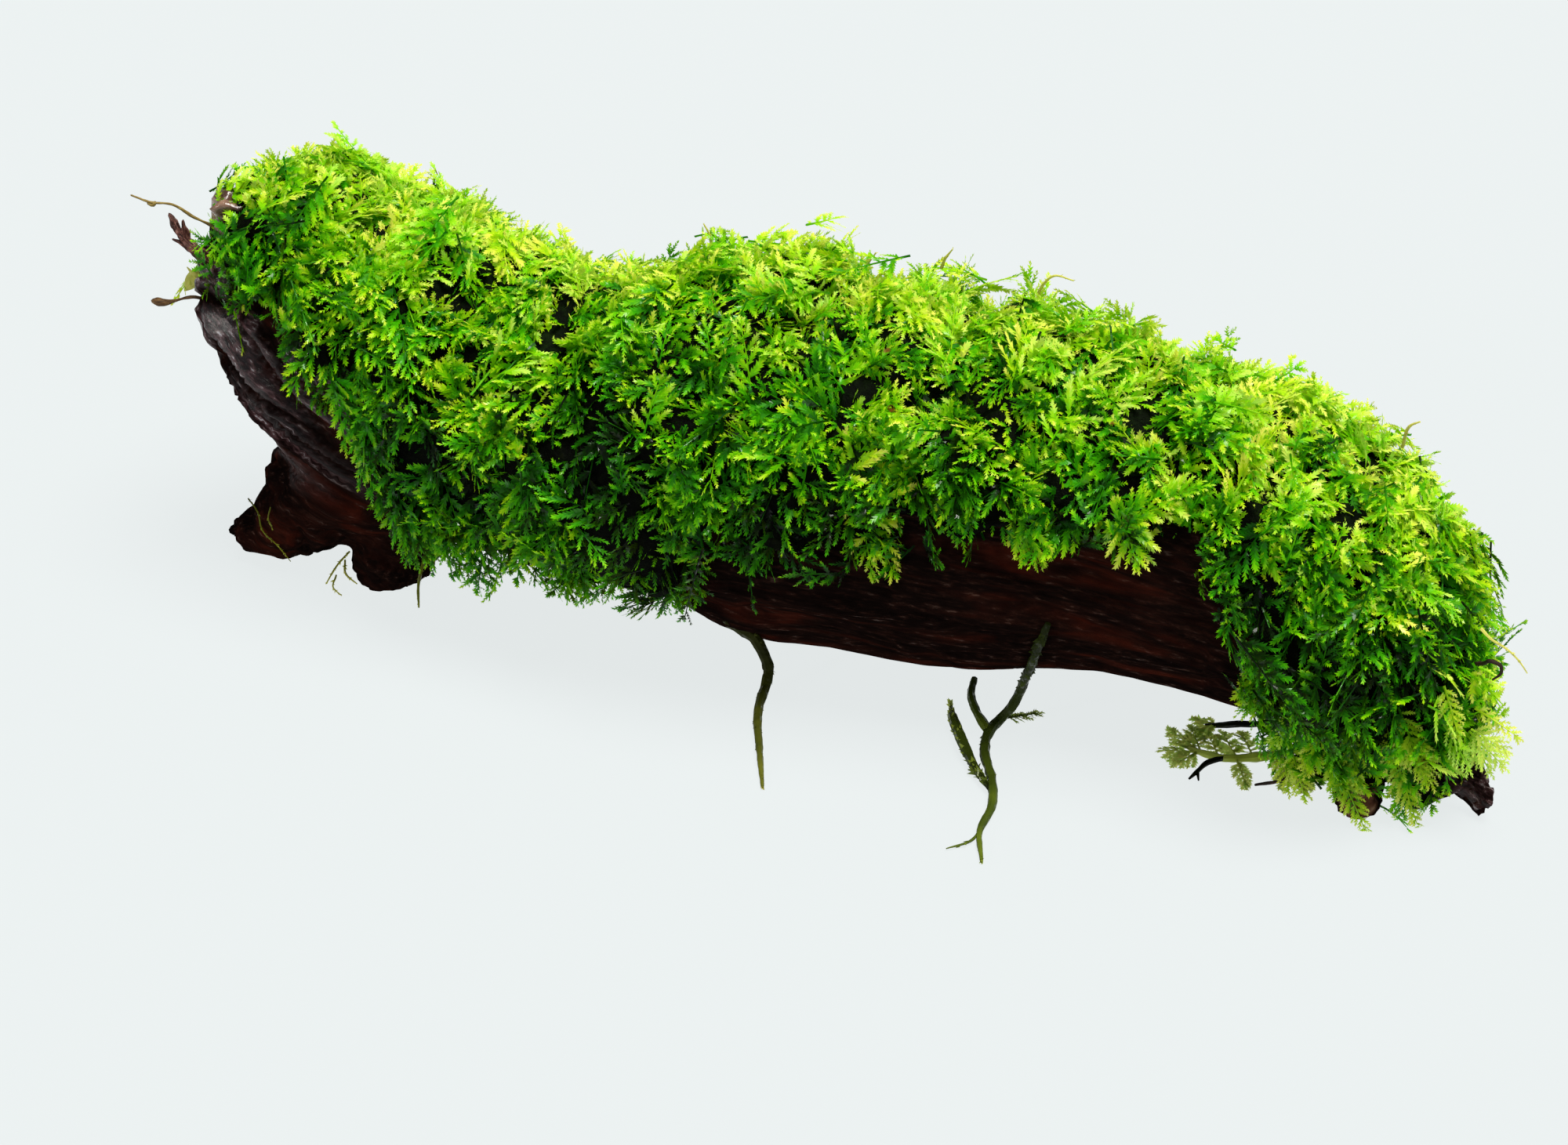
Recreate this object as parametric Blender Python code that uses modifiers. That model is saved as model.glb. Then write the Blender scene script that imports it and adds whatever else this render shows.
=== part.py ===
# Moss on driftwood: a short, wet branch of bogwood with a thick cushion of feathery aquarium moss.
# Blender 4.5, metres, +Z up. X runs along the branch, -Y is the front, the floor is at Z = 0.

import math
import random

import bmesh
import bpy
import numpy as np
from mathutils import Matrix, Vector, noise
from mathutils.bvhtree import BVHTree

# Driving dimensions, in metres

MM = 0.001
FIT_GAP = 0.3 * MM          # between neighbouring solids
OBJECT_NAME = "moss_on_driftwood"
SEED = 27
WELD = 0.02 * MM            # points closer than this after a cut are one
FLOOR_BLOCK = 300 * MM

# The branch: centre x, y, z, half width across, half height, in millimetres, from the left end to the right
TRUNK_STATIONS = [
    (-68.4, 8.8, 39.8, 2.4, 2.4),
    (-66.9, 8.6, 38.4, 5.4, 5.2),
    (-63.4, 8.3, 34.9, 9.3, 8.8),
    (-57.2, 8.0, 30.0, 12.4, 12.4),
    (-47.0, 8.0, 24.5, 14.0, 15.0),
    (-34.0, 7.5, 20.5, 14.5, 15.5),
    (-20.0, 7.5, 19.3, 14.2, 15.3),
    (-3.0, 8.0, 19.8, 15.6, 17.2),
    (15.0, 8.0, 20.2, 15.8, 17.0),
    (33.0, 7.5, 20.5, 15.0, 15.0),
    (50.0, 7.0, 19.0, 14.0, 14.2),
    (60.0, 6.0, 17.6, 12.5, 12.4),
    (66.0, 5.0, 16.6, 9.5, 9.5),
    (69.5, 4.5, 15.8, 3.5, 4.0),
]
TRUNK_RINGS = 36
TRUNK_SIDES = 26
THIN_SECTION = 8.0 * MM     # relief fades out on sections thinner than this
END_POINT = 0.4 * MM        # how far the closed end of a stem or root stands out

# Relief of the wood: broad knots, ridges along the grain, and furrows, deepest at the weathered left end
KNOT_HEIGHT = 2.4 * MM
KNOT_LENGTH = 34.0          # millimetres along the branch
KNOTS_AROUND = 1.5
RIDGE_HEIGHT = 1.9 * MM
RIDGE_LENGTH = 46.0
RIDGES_AROUND = 3.6
FURROW_DEPTH = 1.1 * MM
SHALLOW_SHARE = 0.35        # of that depth away from the left end
FURROWS_AROUND = 6
FURROW_TWIST = 22.0         # millimetres along for one radian round
LEFT_END_X = -60.0
LEFT_END_LENGTH = 16.0
ROOT_KNOT_HEIGHT = 1.3 * MM
ROOT_KNOT_LENGTH = 12.0
ROOT_KNOTS_AROUND = 1.8

# Knotty heel under the back of the branch, which it rests on behind
HEEL_X = 14.0 * MM
HEEL_ANGLE = math.radians(-126)
HEEL_DEPTH = 11.5 * MM
HEEL_LENGTH = 10.0 * MM
HEEL_SPREAD = math.radians(21)

# Root stubs, same columns as the branch
LEFT_SPUR_STATIONS = [
    (-67.6, 1.2, 1.9, 0.8, 0.9),
    (-66.0, 1.2, 2.3, 2.4, 1.9),
    (-62.2, 1.8, 3.6, 4.6, 3.6),
    (-58.0, 3.0, 8.0, 6.6, 7.0),
    (-51.0, 5.0, 12.6, 9.3, 10.2),
    (-40.0, 7.5, 17.0, 8.0, 8.0),
]
LEFT_FOOT_STATIONS = [
    (-48.6, 1.6, -1.0, 3.8, 4.2),
    (-48.4, 2.0, 2.4, 4.2, 4.6),
    (-47.2, 3.4, 7.0, 5.2, 6.0),
    (-45.0, 6.0, 13.0, 6.5, 7.5),
]
RIGHT_HOOK_STATIONS = [
    (77.8, -1.8, 0.6, 0.7, 0.7),
    (77.6, -0.4, 1.8, 1.4, 1.3),
    (75.6, 0.8, 3.6, 2.3, 2.4),
    (71.6, 2.0, 6.2, 4.0, 4.2),
    (65.0, 3.6, 10.5, 5.6, 5.6),
    (58.0, 5.0, 15.0, 6.0, 6.0),
]
RIGHT_TOE_STATIONS = [
    (65.6, -5.0, -0.8, 2.2, 2.6),
    (65.2, -4.0, 2.0, 3.0, 3.2),
    (64.4, -0.8, 6.6, 4.0, 4.6),
    (62.6, 3.0, 12.0, 5.0, 5.5),
]

# The moss: thickness over the wood along the crest, (x, thickness) in millimetres
MOSS_CREST = [
    (-74.0, 2.0), (-66.0, 2.6), (-62.0, 5.0), (-57.0, 9.0), (-48.0, 7.0), (-40.0, 8.6), (-33.0, 7.0),
    (-25.0, 6.4), (-19.0, 11.5), (-6.0, 12.5), (0.0, 13.0), (4.0, 9.5), (13.0, 12.0), (23.0, 11.2),
    (34.0, 10.4), (46.0, 10.4), (56.0, 10.6), (64.0, 11.5), (70.0, 9.0), (76.0, 6.5),
]
# Where its front edge lies, (x, angle in degrees above the front), and the same behind
MOSS_FRONT_EDGE = [
    (-74.0, 36.0), (-66.0, 26.0), (-60.0, 28.0), (-54.0, 22.0), (-46.0, 6.0), (-39.0, -18.0), (-30.0, -30.0),
    (-16.0, -30.0), (-8.0, -6.0), (0.0, 12.0), (8.0, 18.0), (18.0, 26.0), (30.0, 34.0), (44.0, 46.0),
    (49.0, 40.0), (54.0, 14.0), (57.5, -26.0), (62.0, -60.0), (80.0, -70.0),
]
MOSS_BACK_EDGE = [
    (-74.0, 130.0), (-60.0, 168.0), (-46.0, 196.0), (-30.0, 204.0), (-12.0, 190.0), (2.0, 198.0),
    (20.0, 208.0), (36.0, 192.0), (52.0, 214.0), (60.0, 236.0), (84.0, 250.0),
]
MOSS_SPAN = (-65.0, 76.0)   # x of the first and the last row of tufts, in millimetres
LAST_TUFT_X = 71.0
TUFT_SPACING = 8.2          # millimetres
TUFT_JITTER = 2.8
TUFT_RADIUS = 5.2 * MM
TUFT_TIPS = 2
TIP_RADIUS = 1.9 * MM
TIP_POINT = 0.5 * MM
WOOD_RADIUS = 17.0          # of the branch, in millimetres, for spacing the tufts round it
UNDER_LAYER = 2.6 * MM      # thickness of the felted layer under the tufts
UNDER_EDGE = 6.0            # degrees that it stops short of the moss edge
MOSS_VOXEL = 1.1 * MM
MOSS_TRIANGLES = 3350

# Lumps over the right end, (ring radius, x), and the skirt of lumps on the floor round it, in millimetres
END_RINGS = ((4.5, 73.0), (9.0, 71.0))
END_CENTRE = (4.5, 16.0)    # y and z
SKIRT_CENTRE = (64.5, 5.4, 4.2)
SKIRT_RADIUS = 9.0
SKIRT_LUMPS = 15
SKIRT_FROM = -112           # degrees round it, and the step between lumps
SKIRT_STEP = 13

# Fronds that hang from the moss edge: x, y, z of the root and of the tip, width, in millimetres
HANGING_FRONDS = [
    (-42.2, -7.6, 19.0, -39.8, -8.5, 11.0, 7.6),
    (-33.9, -7.6, 17.0, -32.3, -8.0, 9.0, 7.6),
    (-22.4, -7.6, 18.0, -20.6, -8.6, 11.6, 8.6),
    (-11.5, -8.0, 19.0, -10.2, -8.6, 11.6, 7.6),
    (11.3, -8.6, 30.0, 14.0, -9.6, 22.0, 8.6),
    (21.5, -8.0, 32.0, 22.4, -8.6, 27.6, 7.0),
    (28.6, -7.8, 31.0, 30.6, -8.4, 26.4, 6.0),
    (39.3, -7.4, 31.0, 41.2, -8.2, 28.4, 7.0),
    (55.6, -7.0, 17.0, 54.2, -8.2, 13.0, 7.0),
    (59.0, -6.5, 11.0, 56.6, -4.0, 4.6, 7.6),
    (64.0, -6.4, 9.0, 65.6, -6.2, 2.4, 8.0),
    (70.0, -5.6, 9.0, 71.0, -5.4, 2.0, 8.0),
    (73.6, -3.4, 12.0, 74.0, -2.6, 4.2, 7.0),
    (75.6, 0.0, 16.0, 77.8, -1.6, 9.0, 6.4),
    (-34.0, 21.0, 17.0, -35.0, 22.0, 6.0, 9.0),
    (-14.0, 20.0, 18.0, -13.0, 22.0, 8.0, 8.0),
    (30.0, 21.0, 18.0, 32.0, 22.0, 7.0, 9.0),
    (50.0, 19.0, 14.0, 50.0, 20.5, 2.0, 9.0),
    (63.0, 16.0, 12.0, 64.0, 18.0, 1.2, 9.0),
]

# Loose shoots: route points x, y, z and radius, in millimetres
CENTRE_SHOOT = [
    (-8.0, -4.2, 9.0, 0.7), (-6.2, -4.2, 8.0, 0.8), (-3.9, -4.2, 6.8, 0.85), (-2.2, -4.0, 5.8, 0.85),
    (-1.1, -4.0, 4.2, 0.85), (-0.2, -4.4, 2.0, 0.8), (0.0, -6.0, 0.8, 0.74), (0.5, -9.2, 0.7, 0.68),
    (1.6, -12.7, 0.62, 0.6), (3.0, -16.0, 0.52, 0.5), (4.4, -19.3, 0.4, 0.38), (5.8, -22.6, 0.24, 0.22),
]
FORKED_SHOOT = [
    (32.2, -8.0, 17.9, 0.4), (31.4, -7.6, 15.6, 0.5), (30.4, -6.6, 12.2, 0.55), (28.9, -4.2, 8.0, 0.6),
    (27.8, -2.4, 4.6, 0.62), (26.9, -2.4, 2.3, 0.64), (25.8, -3.2, 0.8, 0.68), (25.4, -5.6, 0.75, 0.7),
    (26.0, -9.0, 0.7, 0.66), (28.4, -14.0, 0.66, 0.62), (29.7, -18.2, 0.62, 0.58), (29.8, -22.6, 0.5, 0.45),
    (31.4, -27.0, 0.28, 0.24),
]
FORKED_SIDE = [
    (20.8, 3.6, 0.6, 0.45), (21.4, 0.6, 0.7, 0.5), (23.2, -2.8, 0.75, 0.55), (25.4, -5.6, 0.75, 0.6),
]
ROOT_FIBRE = [
    (-68.6, 5.4, 39.0, 0.34), (-70.6, 4.0, 40.6, 0.3), (-72.6, 2.6, 42.6, 0.28), (-74.6, 1.6, 43.0, 0.25),
    (-76.6, 1.0, 43.8, 0.2),
]
BARK_SPLINTER = [
    (-67.0, 3.6, 34.6, 1.2), (-69.6, 2.6, 37.0, 1.1), (-71.6, 2.2, 39.4, 0.8), (-72.6, 2.0, 41.6, 0.35),
]
SEED_STALK = [
    (-68.0, 2.6, 31.0, 0.36), (-70.4, 1.8, 31.8, 0.36), (-72.6, 1.2, 31.2, 0.42), (-73.8, 1.0, 30.9, 0.95),
    (-74.8, 0.9, 30.9, 0.7),
]
FLOOR_SPRIG_MAIN = [
    (58.0, 0.4, 2.2, 0.6), (55.6, 1.2, 1.2, 0.6), (52.4, 1.4, 0.8, 0.6), (48.8, 0.8, 0.7, 0.55),
    (46.4, 1.2, 0.6, 0.5), (44.6, 1.8, 0.5, 0.4),
]
FLOOR_SPRIG_SIDE = [
    (50.4, 1.1, 0.75, 0.5), (49.0, -2.4, 0.6, 0.45), (47.8, -5.6, 0.4, 0.3),
]
# Leaves of the loose shoots: root point, tip point, width, in millimetres
FORKED_LEAVES = [
    ((26.2, -2.8, 0.9), (29.6, 0.2, 0.5), 1.6),
    ((25.4, -5.8, 0.7), (21.8, -6.6, 0.5), 1.9),
    ((23.0, -2.6, 0.7), (19.6, -0.6, 0.5), 2.0),
    ((28.0, -13.4, 0.7), (24.6, -11.8, 0.5), 2.2),
    ((29.8, -21.0, 0.6), (27.8, -23.6, 0.45), 1.0),
]
FLOOR_SPRIG_LEAVES = [
    ((46.2, 1.2, 0.6), (43.6, -1.4, 0.45), 2.8),
    ((45.6, 1.6, 0.6), (42.8, 3.6, 0.45), 2.6),
    ((49.4, 1.0, 0.7), (47.2, 4.2, 0.5), 2.4),
    ((54.2, 1.2, 0.9), (52.2, -4.2, 0.5), 1.8),
    ((48.9, -2.6, 0.6), (46.2, -3.4, 0.45), 1.8),
]
LEAF_THICKNESS = 0.8


def clear_scene():
    for item in list(bpy.data.objects):
        bpy.data.objects.remove(item, do_unlink=True)


def make_collection(name):
    collection = bpy.data.collections.new(name)
    bpy.context.scene.collection.children.link(collection)
    return collection


def make_material(name, color, roughness):
    material = bpy.data.materials.new(name)
    material.use_nodes = True
    shader = material.node_tree.nodes["Principled BSDF"]
    shader.inputs["Base Color"].default_value = (*color, 1.0)
    shader.inputs["Roughness"].default_value = roughness
    shader.inputs["Metallic"].default_value = 0.0
    return material


def read_curve(rows, fractions):
    """Smooth values between rows of numbers, at fractions of the way along their first three columns."""
    table = np.array(rows, dtype=float)
    steps = np.linalg.norm(np.diff(table[:, :3], axis=0), axis=1)
    distance = np.concatenate(([0.0], np.cumsum(steps)))
    at = np.asarray(fractions) * distance[-1]
    slopes = np.gradient(table, distance, axis=0)
    segment = np.clip(np.searchsorted(distance, at, side="right") - 1, 0, len(steps) - 1)
    span = steps[segment][:, None]
    t = ((at - distance[segment]) / steps[segment])[:, None]
    start, end = table[segment], table[segment + 1]
    out, into = slopes[segment] * span, slopes[segment + 1] * span
    return (
        (2 * t**3 - 3 * t**2 + 1) * start
        + (t**3 - 2 * t**2 + t) * out
        + (-2 * t**3 + 3 * t**2) * end
        + (t**3 - t**2) * into
    )


def profile_value(points, x_mm):
    """Straight-line reading of a list of (x, value) pairs."""
    table = np.array(points, dtype=float)
    return float(np.interp(x_mm, table[:, 0], table[:, 1]))


def turn_between(angle, centre):
    return (angle - centre + math.pi) % (2 * math.pi) - math.pi


def bell(value, width):
    return math.exp(-((value / width) ** 2))


def wood_relief(x_mm, angle):
    """Height of ridges, furrows and knots over the plain section. The grain runs along the branch."""
    around = Vector((math.cos(angle), math.sin(angle), 0.0))
    knot_at = Vector((x_mm / KNOT_LENGTH, around.x * KNOTS_AROUND, around.y * KNOTS_AROUND))
    broad = noise.noise(knot_at)
    ridge_at = Vector((x_mm / RIDGE_LENGTH + 9.0, around.x * RIDGES_AROUND, around.y * RIDGES_AROUND))
    ridges = noise.noise(ridge_at)
    heel_round = bell(turn_between(angle, HEEL_ANGLE), HEEL_SPREAD)
    heel = HEEL_DEPTH * bell(x_mm * MM - HEEL_X, HEEL_LENGTH) * heel_round
    weathered = bell(x_mm - LEFT_END_X, LEFT_END_LENGTH)
    furrow_depth = FURROW_DEPTH * (SHALLOW_SHARE + (1.0 - SHALLOW_SHARE) * weathered)
    furrows = furrow_depth * math.cos(FURROWS_AROUND * angle + x_mm / FURROW_TWIST + 2.0 * broad)
    return KNOT_HEIGHT * broad + RIDGE_HEIGHT * ridges + furrows + heel


def root_relief(x_mm, angle):
    around = Vector((math.cos(angle), math.sin(angle), 0.0)) * ROOT_KNOTS_AROUND
    return ROOT_KNOT_HEIGHT * noise.noise(Vector((x_mm / ROOT_KNOT_LENGTH + 4.0, around.x, around.y)))


def section_frames(rows, count):
    """Centres, front and up directions and half sizes of evenly spaced sections, in metres."""
    values = read_curve(rows, np.linspace(0.0, 1.0, count)) * MM
    centres = [Vector(row[:3]) for row in values]
    frames = []
    for index, centre in enumerate(centres):
        before = centres[max(index - 1, 0)]
        after = centres[min(index + 1, count - 1)]
        along = (after - before).normalized()
        up = Vector((0.0, 0.0, 1.0))
        if abs(along.z) > 0.8:
            up = Vector((-1.0, 0.0, 0.0))
        up = (up - up.dot(along) * along).normalized()
        frames.append((centre, along.cross(up), up, values[index][3], values[index][4]))
    return frames


def loft(name, rows, count, sides, relief, grow=0.0):
    """Closed solid through elliptical sections, its surface raised by relief(x in mm, angle) and by grow."""
    frames = section_frames(rows, count)
    mesh = bpy.data.meshes.new(name)
    shape = bmesh.new()
    rings = []
    for index, (centre, front, up, half_width, half_height) in enumerate(frames):
        ring = []
        fade = min(1.0, 0.25 + half_width / THIN_SECTION)
        for side in range(sides):
            angle = 2 * math.pi * side / sides
            raised = relief(centre.x / MM, angle) * fade + grow
            across = math.cos(angle) * (half_width + raised)
            rise = math.sin(angle) * (half_height + raised)
            ring.append(shape.verts.new(centre + front * across + up * rise))
        rings.append(ring)
    for first, second in zip(rings, rings[1:]):
        for side in range(sides):
            after = (side + 1) % sides
            shape.faces.new((first[side], second[side], second[after], first[after]))
    ends = ((rings[0], frames[1][0], frames[0][0]), (rings[-1], frames[-2][0], frames[-1][0]))
    for ring, inner, outer in ends:
        tip = shape.verts.new(outer + (outer - inner).normalized() * (grow + END_POINT))
        for side in range(sides):
            shape.faces.new((ring[side], ring[(side + 1) % sides], tip))
    bmesh.ops.recalc_face_normals(shape, faces=shape.faces)
    bmesh.ops.triangulate(shape, faces=shape.faces)
    shape.to_mesh(mesh)
    shape.free()
    return bpy.data.objects.new(name, mesh)


def place(item, collection, material=None):
    collection.objects.link(item)
    if material:
        item.data.materials.append(material)
    return item


def make_cutter(item):
    """Puts a helper solid with the cutters, out of the render."""
    place(item, cutters)
    item.hide_render = True
    item.display_type = "WIRE"
    return item


def boolean(item, operation, other):
    modifier = item.modifiers.new(operation.title(), "BOOLEAN")
    modifier.operation = operation
    modifier.solver = "EXACT"
    modifier.object = other
    return modifier


def bake(item):
    """Replaces an object's mesh by what its modifiers make of it."""
    bpy.context.view_layer.update()
    graph = bpy.context.evaluated_depsgraph_get()
    mesh = bpy.data.meshes.new_from_object(item.evaluated_get(graph))
    item.modifiers.clear()
    old = item.data
    item.data = mesh
    bpy.data.meshes.remove(old)
    return item


def keep_largest_body(item):
    """Deletes loose crumbs and sealed pockets that a cut leaves, and welds and triangulates the rest."""
    shape = bmesh.new()
    shape.from_mesh(item.data)
    bmesh.ops.remove_doubles(shape, verts=shape.verts, dist=WELD)
    bmesh.ops.dissolve_degenerate(shape, edges=shape.edges, dist=WELD)
    unseen = set(shape.verts)
    bodies = []
    while unseen:
        todo = [unseen.pop()]
        body = set(todo)
        while todo:
            for edge in todo.pop().link_edges:
                for vert in edge.verts:
                    if vert in unseen:
                        unseen.discard(vert)
                        body.add(vert)
                        todo.append(vert)
        bodies.append(body)
    largest = max(bodies, key=len)
    bmesh.ops.delete(shape, geom=[v for v in shape.verts if v not in largest], context="VERTS")
    bmesh.ops.triangulate(shape, faces=shape.faces)
    bmesh.ops.recalc_face_normals(shape, faces=shape.faces)
    shape.to_mesh(item.data)
    shape.free()
    return item


def floor_block():
    """A block under Z = 0, which cuts flat feet."""
    bpy.ops.mesh.primitive_cube_add(size=FLOOR_BLOCK, location=(0.0, 0.0, -FLOOR_BLOCK / 2))
    item = bpy.context.active_object
    item.name = "floor_block"
    for collection in list(item.users_collection):
        collection.objects.unlink(item)
    return make_cutter(item)


def fused(name, first, others):
    """Union of overlapping solids as one."""
    for other in others:
        boolean(first, "UNION", other)
    bake(first)
    first.name = name
    return first


def trunk_solid(name, grow=0.0):
    return loft(name, TRUNK_STATIONS, TRUNK_RINGS, TRUNK_SIDES, wood_relief, grow)


def left_root_solid(name, grow=0.0):
    spur = place(loft(name, LEFT_SPUR_STATIONS, 11, 12, root_relief, grow), cutters)
    foot = place(loft(name + "_foot", LEFT_FOOT_STATIONS, 5, 10, root_relief, grow), cutters)
    fused(name, spur, [foot])
    bpy.data.objects.remove(foot)
    cutters.objects.unlink(spur)
    return spur


def right_root_solid(name, grow=0.0):
    hook = place(loft(name, RIGHT_HOOK_STATIONS, 12, 10, root_relief, grow), cutters)
    toe = place(loft(name + "_toe", RIGHT_TOE_STATIONS, 5, 8, root_relief, grow), cutters)
    fused(name, hook, [toe])
    bpy.data.objects.remove(toe)
    cutters.objects.unlink(hook)
    return hook


def trunk_surface(x_mm, angle, lift):
    """A point over the branch's plain section at x, lifted from it, with its outward direction."""
    rows = np.array(TRUNK_STATIONS)
    centre_y = np.interp(x_mm, rows[:, 0], rows[:, 1])
    centre_z = np.interp(x_mm, rows[:, 0], rows[:, 2])
    half_width = np.interp(x_mm, rows[:, 0], rows[:, 3])
    half_height = np.interp(x_mm, rows[:, 0], rows[:, 4])
    outward = Vector((0.0, -math.cos(angle), math.sin(angle)))
    point = Vector((x_mm, centre_y, centre_z))
    point.y -= math.cos(angle) * (half_width + lift)
    point.z += math.sin(angle) * (half_height + lift)
    return point * MM, outward


def add_blob(shape, centre, outward, length, width, thickness):
    """An egg-shaped lump: length along its own down direction, thickness outward."""
    down = Vector((0.0, 0.0, -1.0))
    down = down - down.dot(outward) * outward
    if down.length < 0.2:
        down = Vector((1.0, 0.0, 0.0)) - outward.x * outward
    down.normalize()
    across = outward.cross(down)
    turn = Matrix((across, down, outward)).transposed().to_4x4()
    size = Matrix.Diagonal((width, length, thickness, 1.0))
    at = Matrix.Translation(centre) @ turn @ size
    bmesh.ops.create_icosphere(shape, subdivisions=2, radius=1.0, matrix=at)


def add_tip(shape, draw, x_mm, angle, depth, radius):
    """A pointed shoot tip on a tuft: a cone that stands out of it and leans a little downhill."""
    spread = 0.6 * radius / MM
    along = x_mm + draw.uniform(-spread, spread)
    turned = angle + draw.uniform(-spread, spread) / WOOD_RADIUS
    centre, outward = trunk_surface(along, turned, depth * 0.62)
    lean = Vector((draw.uniform(-0.5, 0.5), draw.uniform(-0.3, 0.3), draw.uniform(-0.7, 0.1)))
    direction = (outward + lean).normalized()
    turn = direction.to_track_quat("Z", "Y").to_matrix().to_4x4()
    bmesh.ops.create_cone(
        shape,
        cap_ends=True,
        segments=6,
        radius1=TIP_RADIUS,
        radius2=TIP_POINT,
        depth=depth * 0.75 * MM,
        matrix=Matrix.Translation(centre) @ turn,
    )


def moss_tufts(shape):
    """Lumps of moss on a jittered grid over the covered part of the branch."""
    draw = random.Random(SEED)
    x_mm = MOSS_SPAN[0]
    row = 0
    while x_mm < MOSS_SPAN[1]:
        thickness = profile_value(MOSS_CREST, x_mm)
        low = math.radians(profile_value(MOSS_FRONT_EDGE, x_mm))
        high = math.radians(profile_value(MOSS_BACK_EDGE, x_mm))
        reach = WOOD_RADIUS + thickness * 0.5
        steps = max(3, round((high - low) * reach / TUFT_SPACING))
        for step in range(steps + 1):
            angle = low + (high - low) * (step + 0.5 * (row % 2)) / (steps + 0.5)
            along = min(x_mm + draw.uniform(-TUFT_JITTER, TUFT_JITTER), LAST_TUFT_X)
            depth = thickness * draw.uniform(0.78, 1.0)
            radius = TUFT_RADIUS * draw.uniform(0.8, 1.12)
            edge = min(angle - low, high - angle)
            depth *= 0.62 + 0.38 * min(1.0, edge / 0.5)
            turned = angle + draw.uniform(-0.09, 0.09)
            centre, outward = trunk_surface(along, turned, depth * 0.2)
            add_blob(shape, centre, outward, radius * 1.1, radius * 0.9, depth * 0.6 * MM)
            for _ in range(TUFT_TIPS):
                add_tip(shape, draw, along, turned, depth, radius)
        x_mm += TUFT_SPACING * 0.87
        row += 1


def moss_ends(shape):
    """Lumps over the right end of the branch and down to the floor round it."""
    draw = random.Random(SEED + 1)
    for angle_degrees in range(-60, 250, 26):
        angle = math.radians(angle_degrees)
        for reach, x_mm in END_RINGS:
            y_mm = END_CENTRE[0] - math.cos(angle) * reach
            centre = Vector((x_mm, y_mm, END_CENTRE[1] + math.sin(angle) * reach))
            outward = Vector((0.8, -0.5 * math.cos(angle), 0.5 * math.sin(angle))).normalized()
            radius = draw.uniform(3.8, 4.8) * MM
            add_blob(shape, centre * MM, outward, radius, radius, radius * 0.8)
    for step in range(SKIRT_LUMPS):
        angle = math.radians(SKIRT_FROM + step * SKIRT_STEP)
        away = Vector((math.cos(angle), math.sin(angle), 0.0))
        foot = Vector(SKIRT_CENTRE) + away * (SKIRT_RADIUS + draw.uniform(-1.0, 1.0))
        outward = (away + Vector((0.0, 0.0, 0.25))).normalized()
        add_blob(shape, foot * MM, outward, 6.5 * MM, 3.6 * MM, 3.0 * MM)


def moss_fronds(shape):
    """Flat tapering lobes that hang from the edge, each a run of shrinking lumps."""
    for x0, y0, z0, x1, y1, z1, width in HANGING_FRONDS:
        root, tip = Vector((x0, y0, z0)), Vector((x1, y1, z1))
        outward = Vector((0.0, -1.0 if y0 < 8.0 else 1.0, 0.0))
        steps = 5
        for step in range(steps):
            t = step / (steps - 1)
            size = width * (0.55 - 0.33 * t) * MM
            add_blob(shape, root.lerp(tip, t) * MM, outward, size, size, 1.6 * MM)


def moss_under_layer():
    """The felted layer under the tufts: a skin over the covered part of the branch only."""

    def covering(x_mm, angle):
        low = math.radians(profile_value(MOSS_FRONT_EDGE, x_mm) + UNDER_EDGE)
        high = math.radians(profile_value(MOSS_BACK_EDGE, x_mm) - UNDER_EDGE)
        if (angle - low) % (2 * math.pi) < high - low:
            return wood_relief(x_mm, angle) + UNDER_LAYER
        return -UNDER_LAYER

    return loft("moss_under_layer", TRUNK_STATIONS, TRUNK_RINGS, TRUNK_SIDES, covering)


def make_moss(wood_cutters, floor):
    body = place(moss_under_layer(), cutters)
    shape = bmesh.new()
    shape.from_mesh(body.data)
    moss_tufts(shape)
    moss_ends(shape)
    moss_fronds(shape)
    shape.to_mesh(body.data)
    shape.free()
    remesh = body.modifiers.new("Felt together", "REMESH")
    remesh.mode = "VOXEL"
    remesh.voxel_size = MOSS_VOXEL
    bake(body)
    keep_largest_body(body)
    thin = body.modifiers.new("Fewer faces", "DECIMATE")
    thin.ratio = MOSS_TRIANGLES / len(body.data.polygons)
    bake(body)
    for cutter in wood_cutters + [floor]:
        boolean(body, "DIFFERENCE", cutter)
        bake(body)
        keep_largest_body(body)
    cutters.objects.unlink(body)
    body.name = "moss_mat"
    return body


def clear_of(rows, wood):
    """Route points moved off the wood, and off the floor, by the stem's own radius."""
    tree = BVHTree.FromObject(wood, bpy.context.evaluated_depsgraph_get())
    cleared = []
    for row in rows:
        point = Vector(row[:3]) * MM
        reach = (row[3] + 0.15) * MM
        near, normal, _, distance = tree.find_nearest(point)
        if (point - near).dot(normal) < reach:
            point = near + normal * reach
        point.z = max(point.z, row[3] * MM)
        cleared.append((*(point / MM), row[3], row[3]))
    return cleared


def tube(name, rows, points, sides, wood, grow):
    """A stem of round section whose radius follows the rows."""
    route = read_curve([(*row[:3], row[3], row[3]) for row in rows], np.linspace(0.0, 1.0, points))
    return loft(name, clear_of(route, wood), points, sides, plain_surface, grow)


def plain_surface(x_mm, angle):
    return 0.0


def leaf(name, root, tip, width, grow):
    """A flat pointed leaf from root to tip, in millimetres, lying level."""
    start, end = Vector(root), Vector(tip)
    rows = []
    for share, wide in ((0.0, 0.3), (0.3, 0.9), (0.62, 1.0), (1.0, 0.25)):
        middle = start.lerp(end, share)
        rows.append((*middle, 0.5 * width * wide, 0.5 * LEAF_THICKNESS))
    return loft(name, rows, 5, 4, plain_surface, grow)


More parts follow.
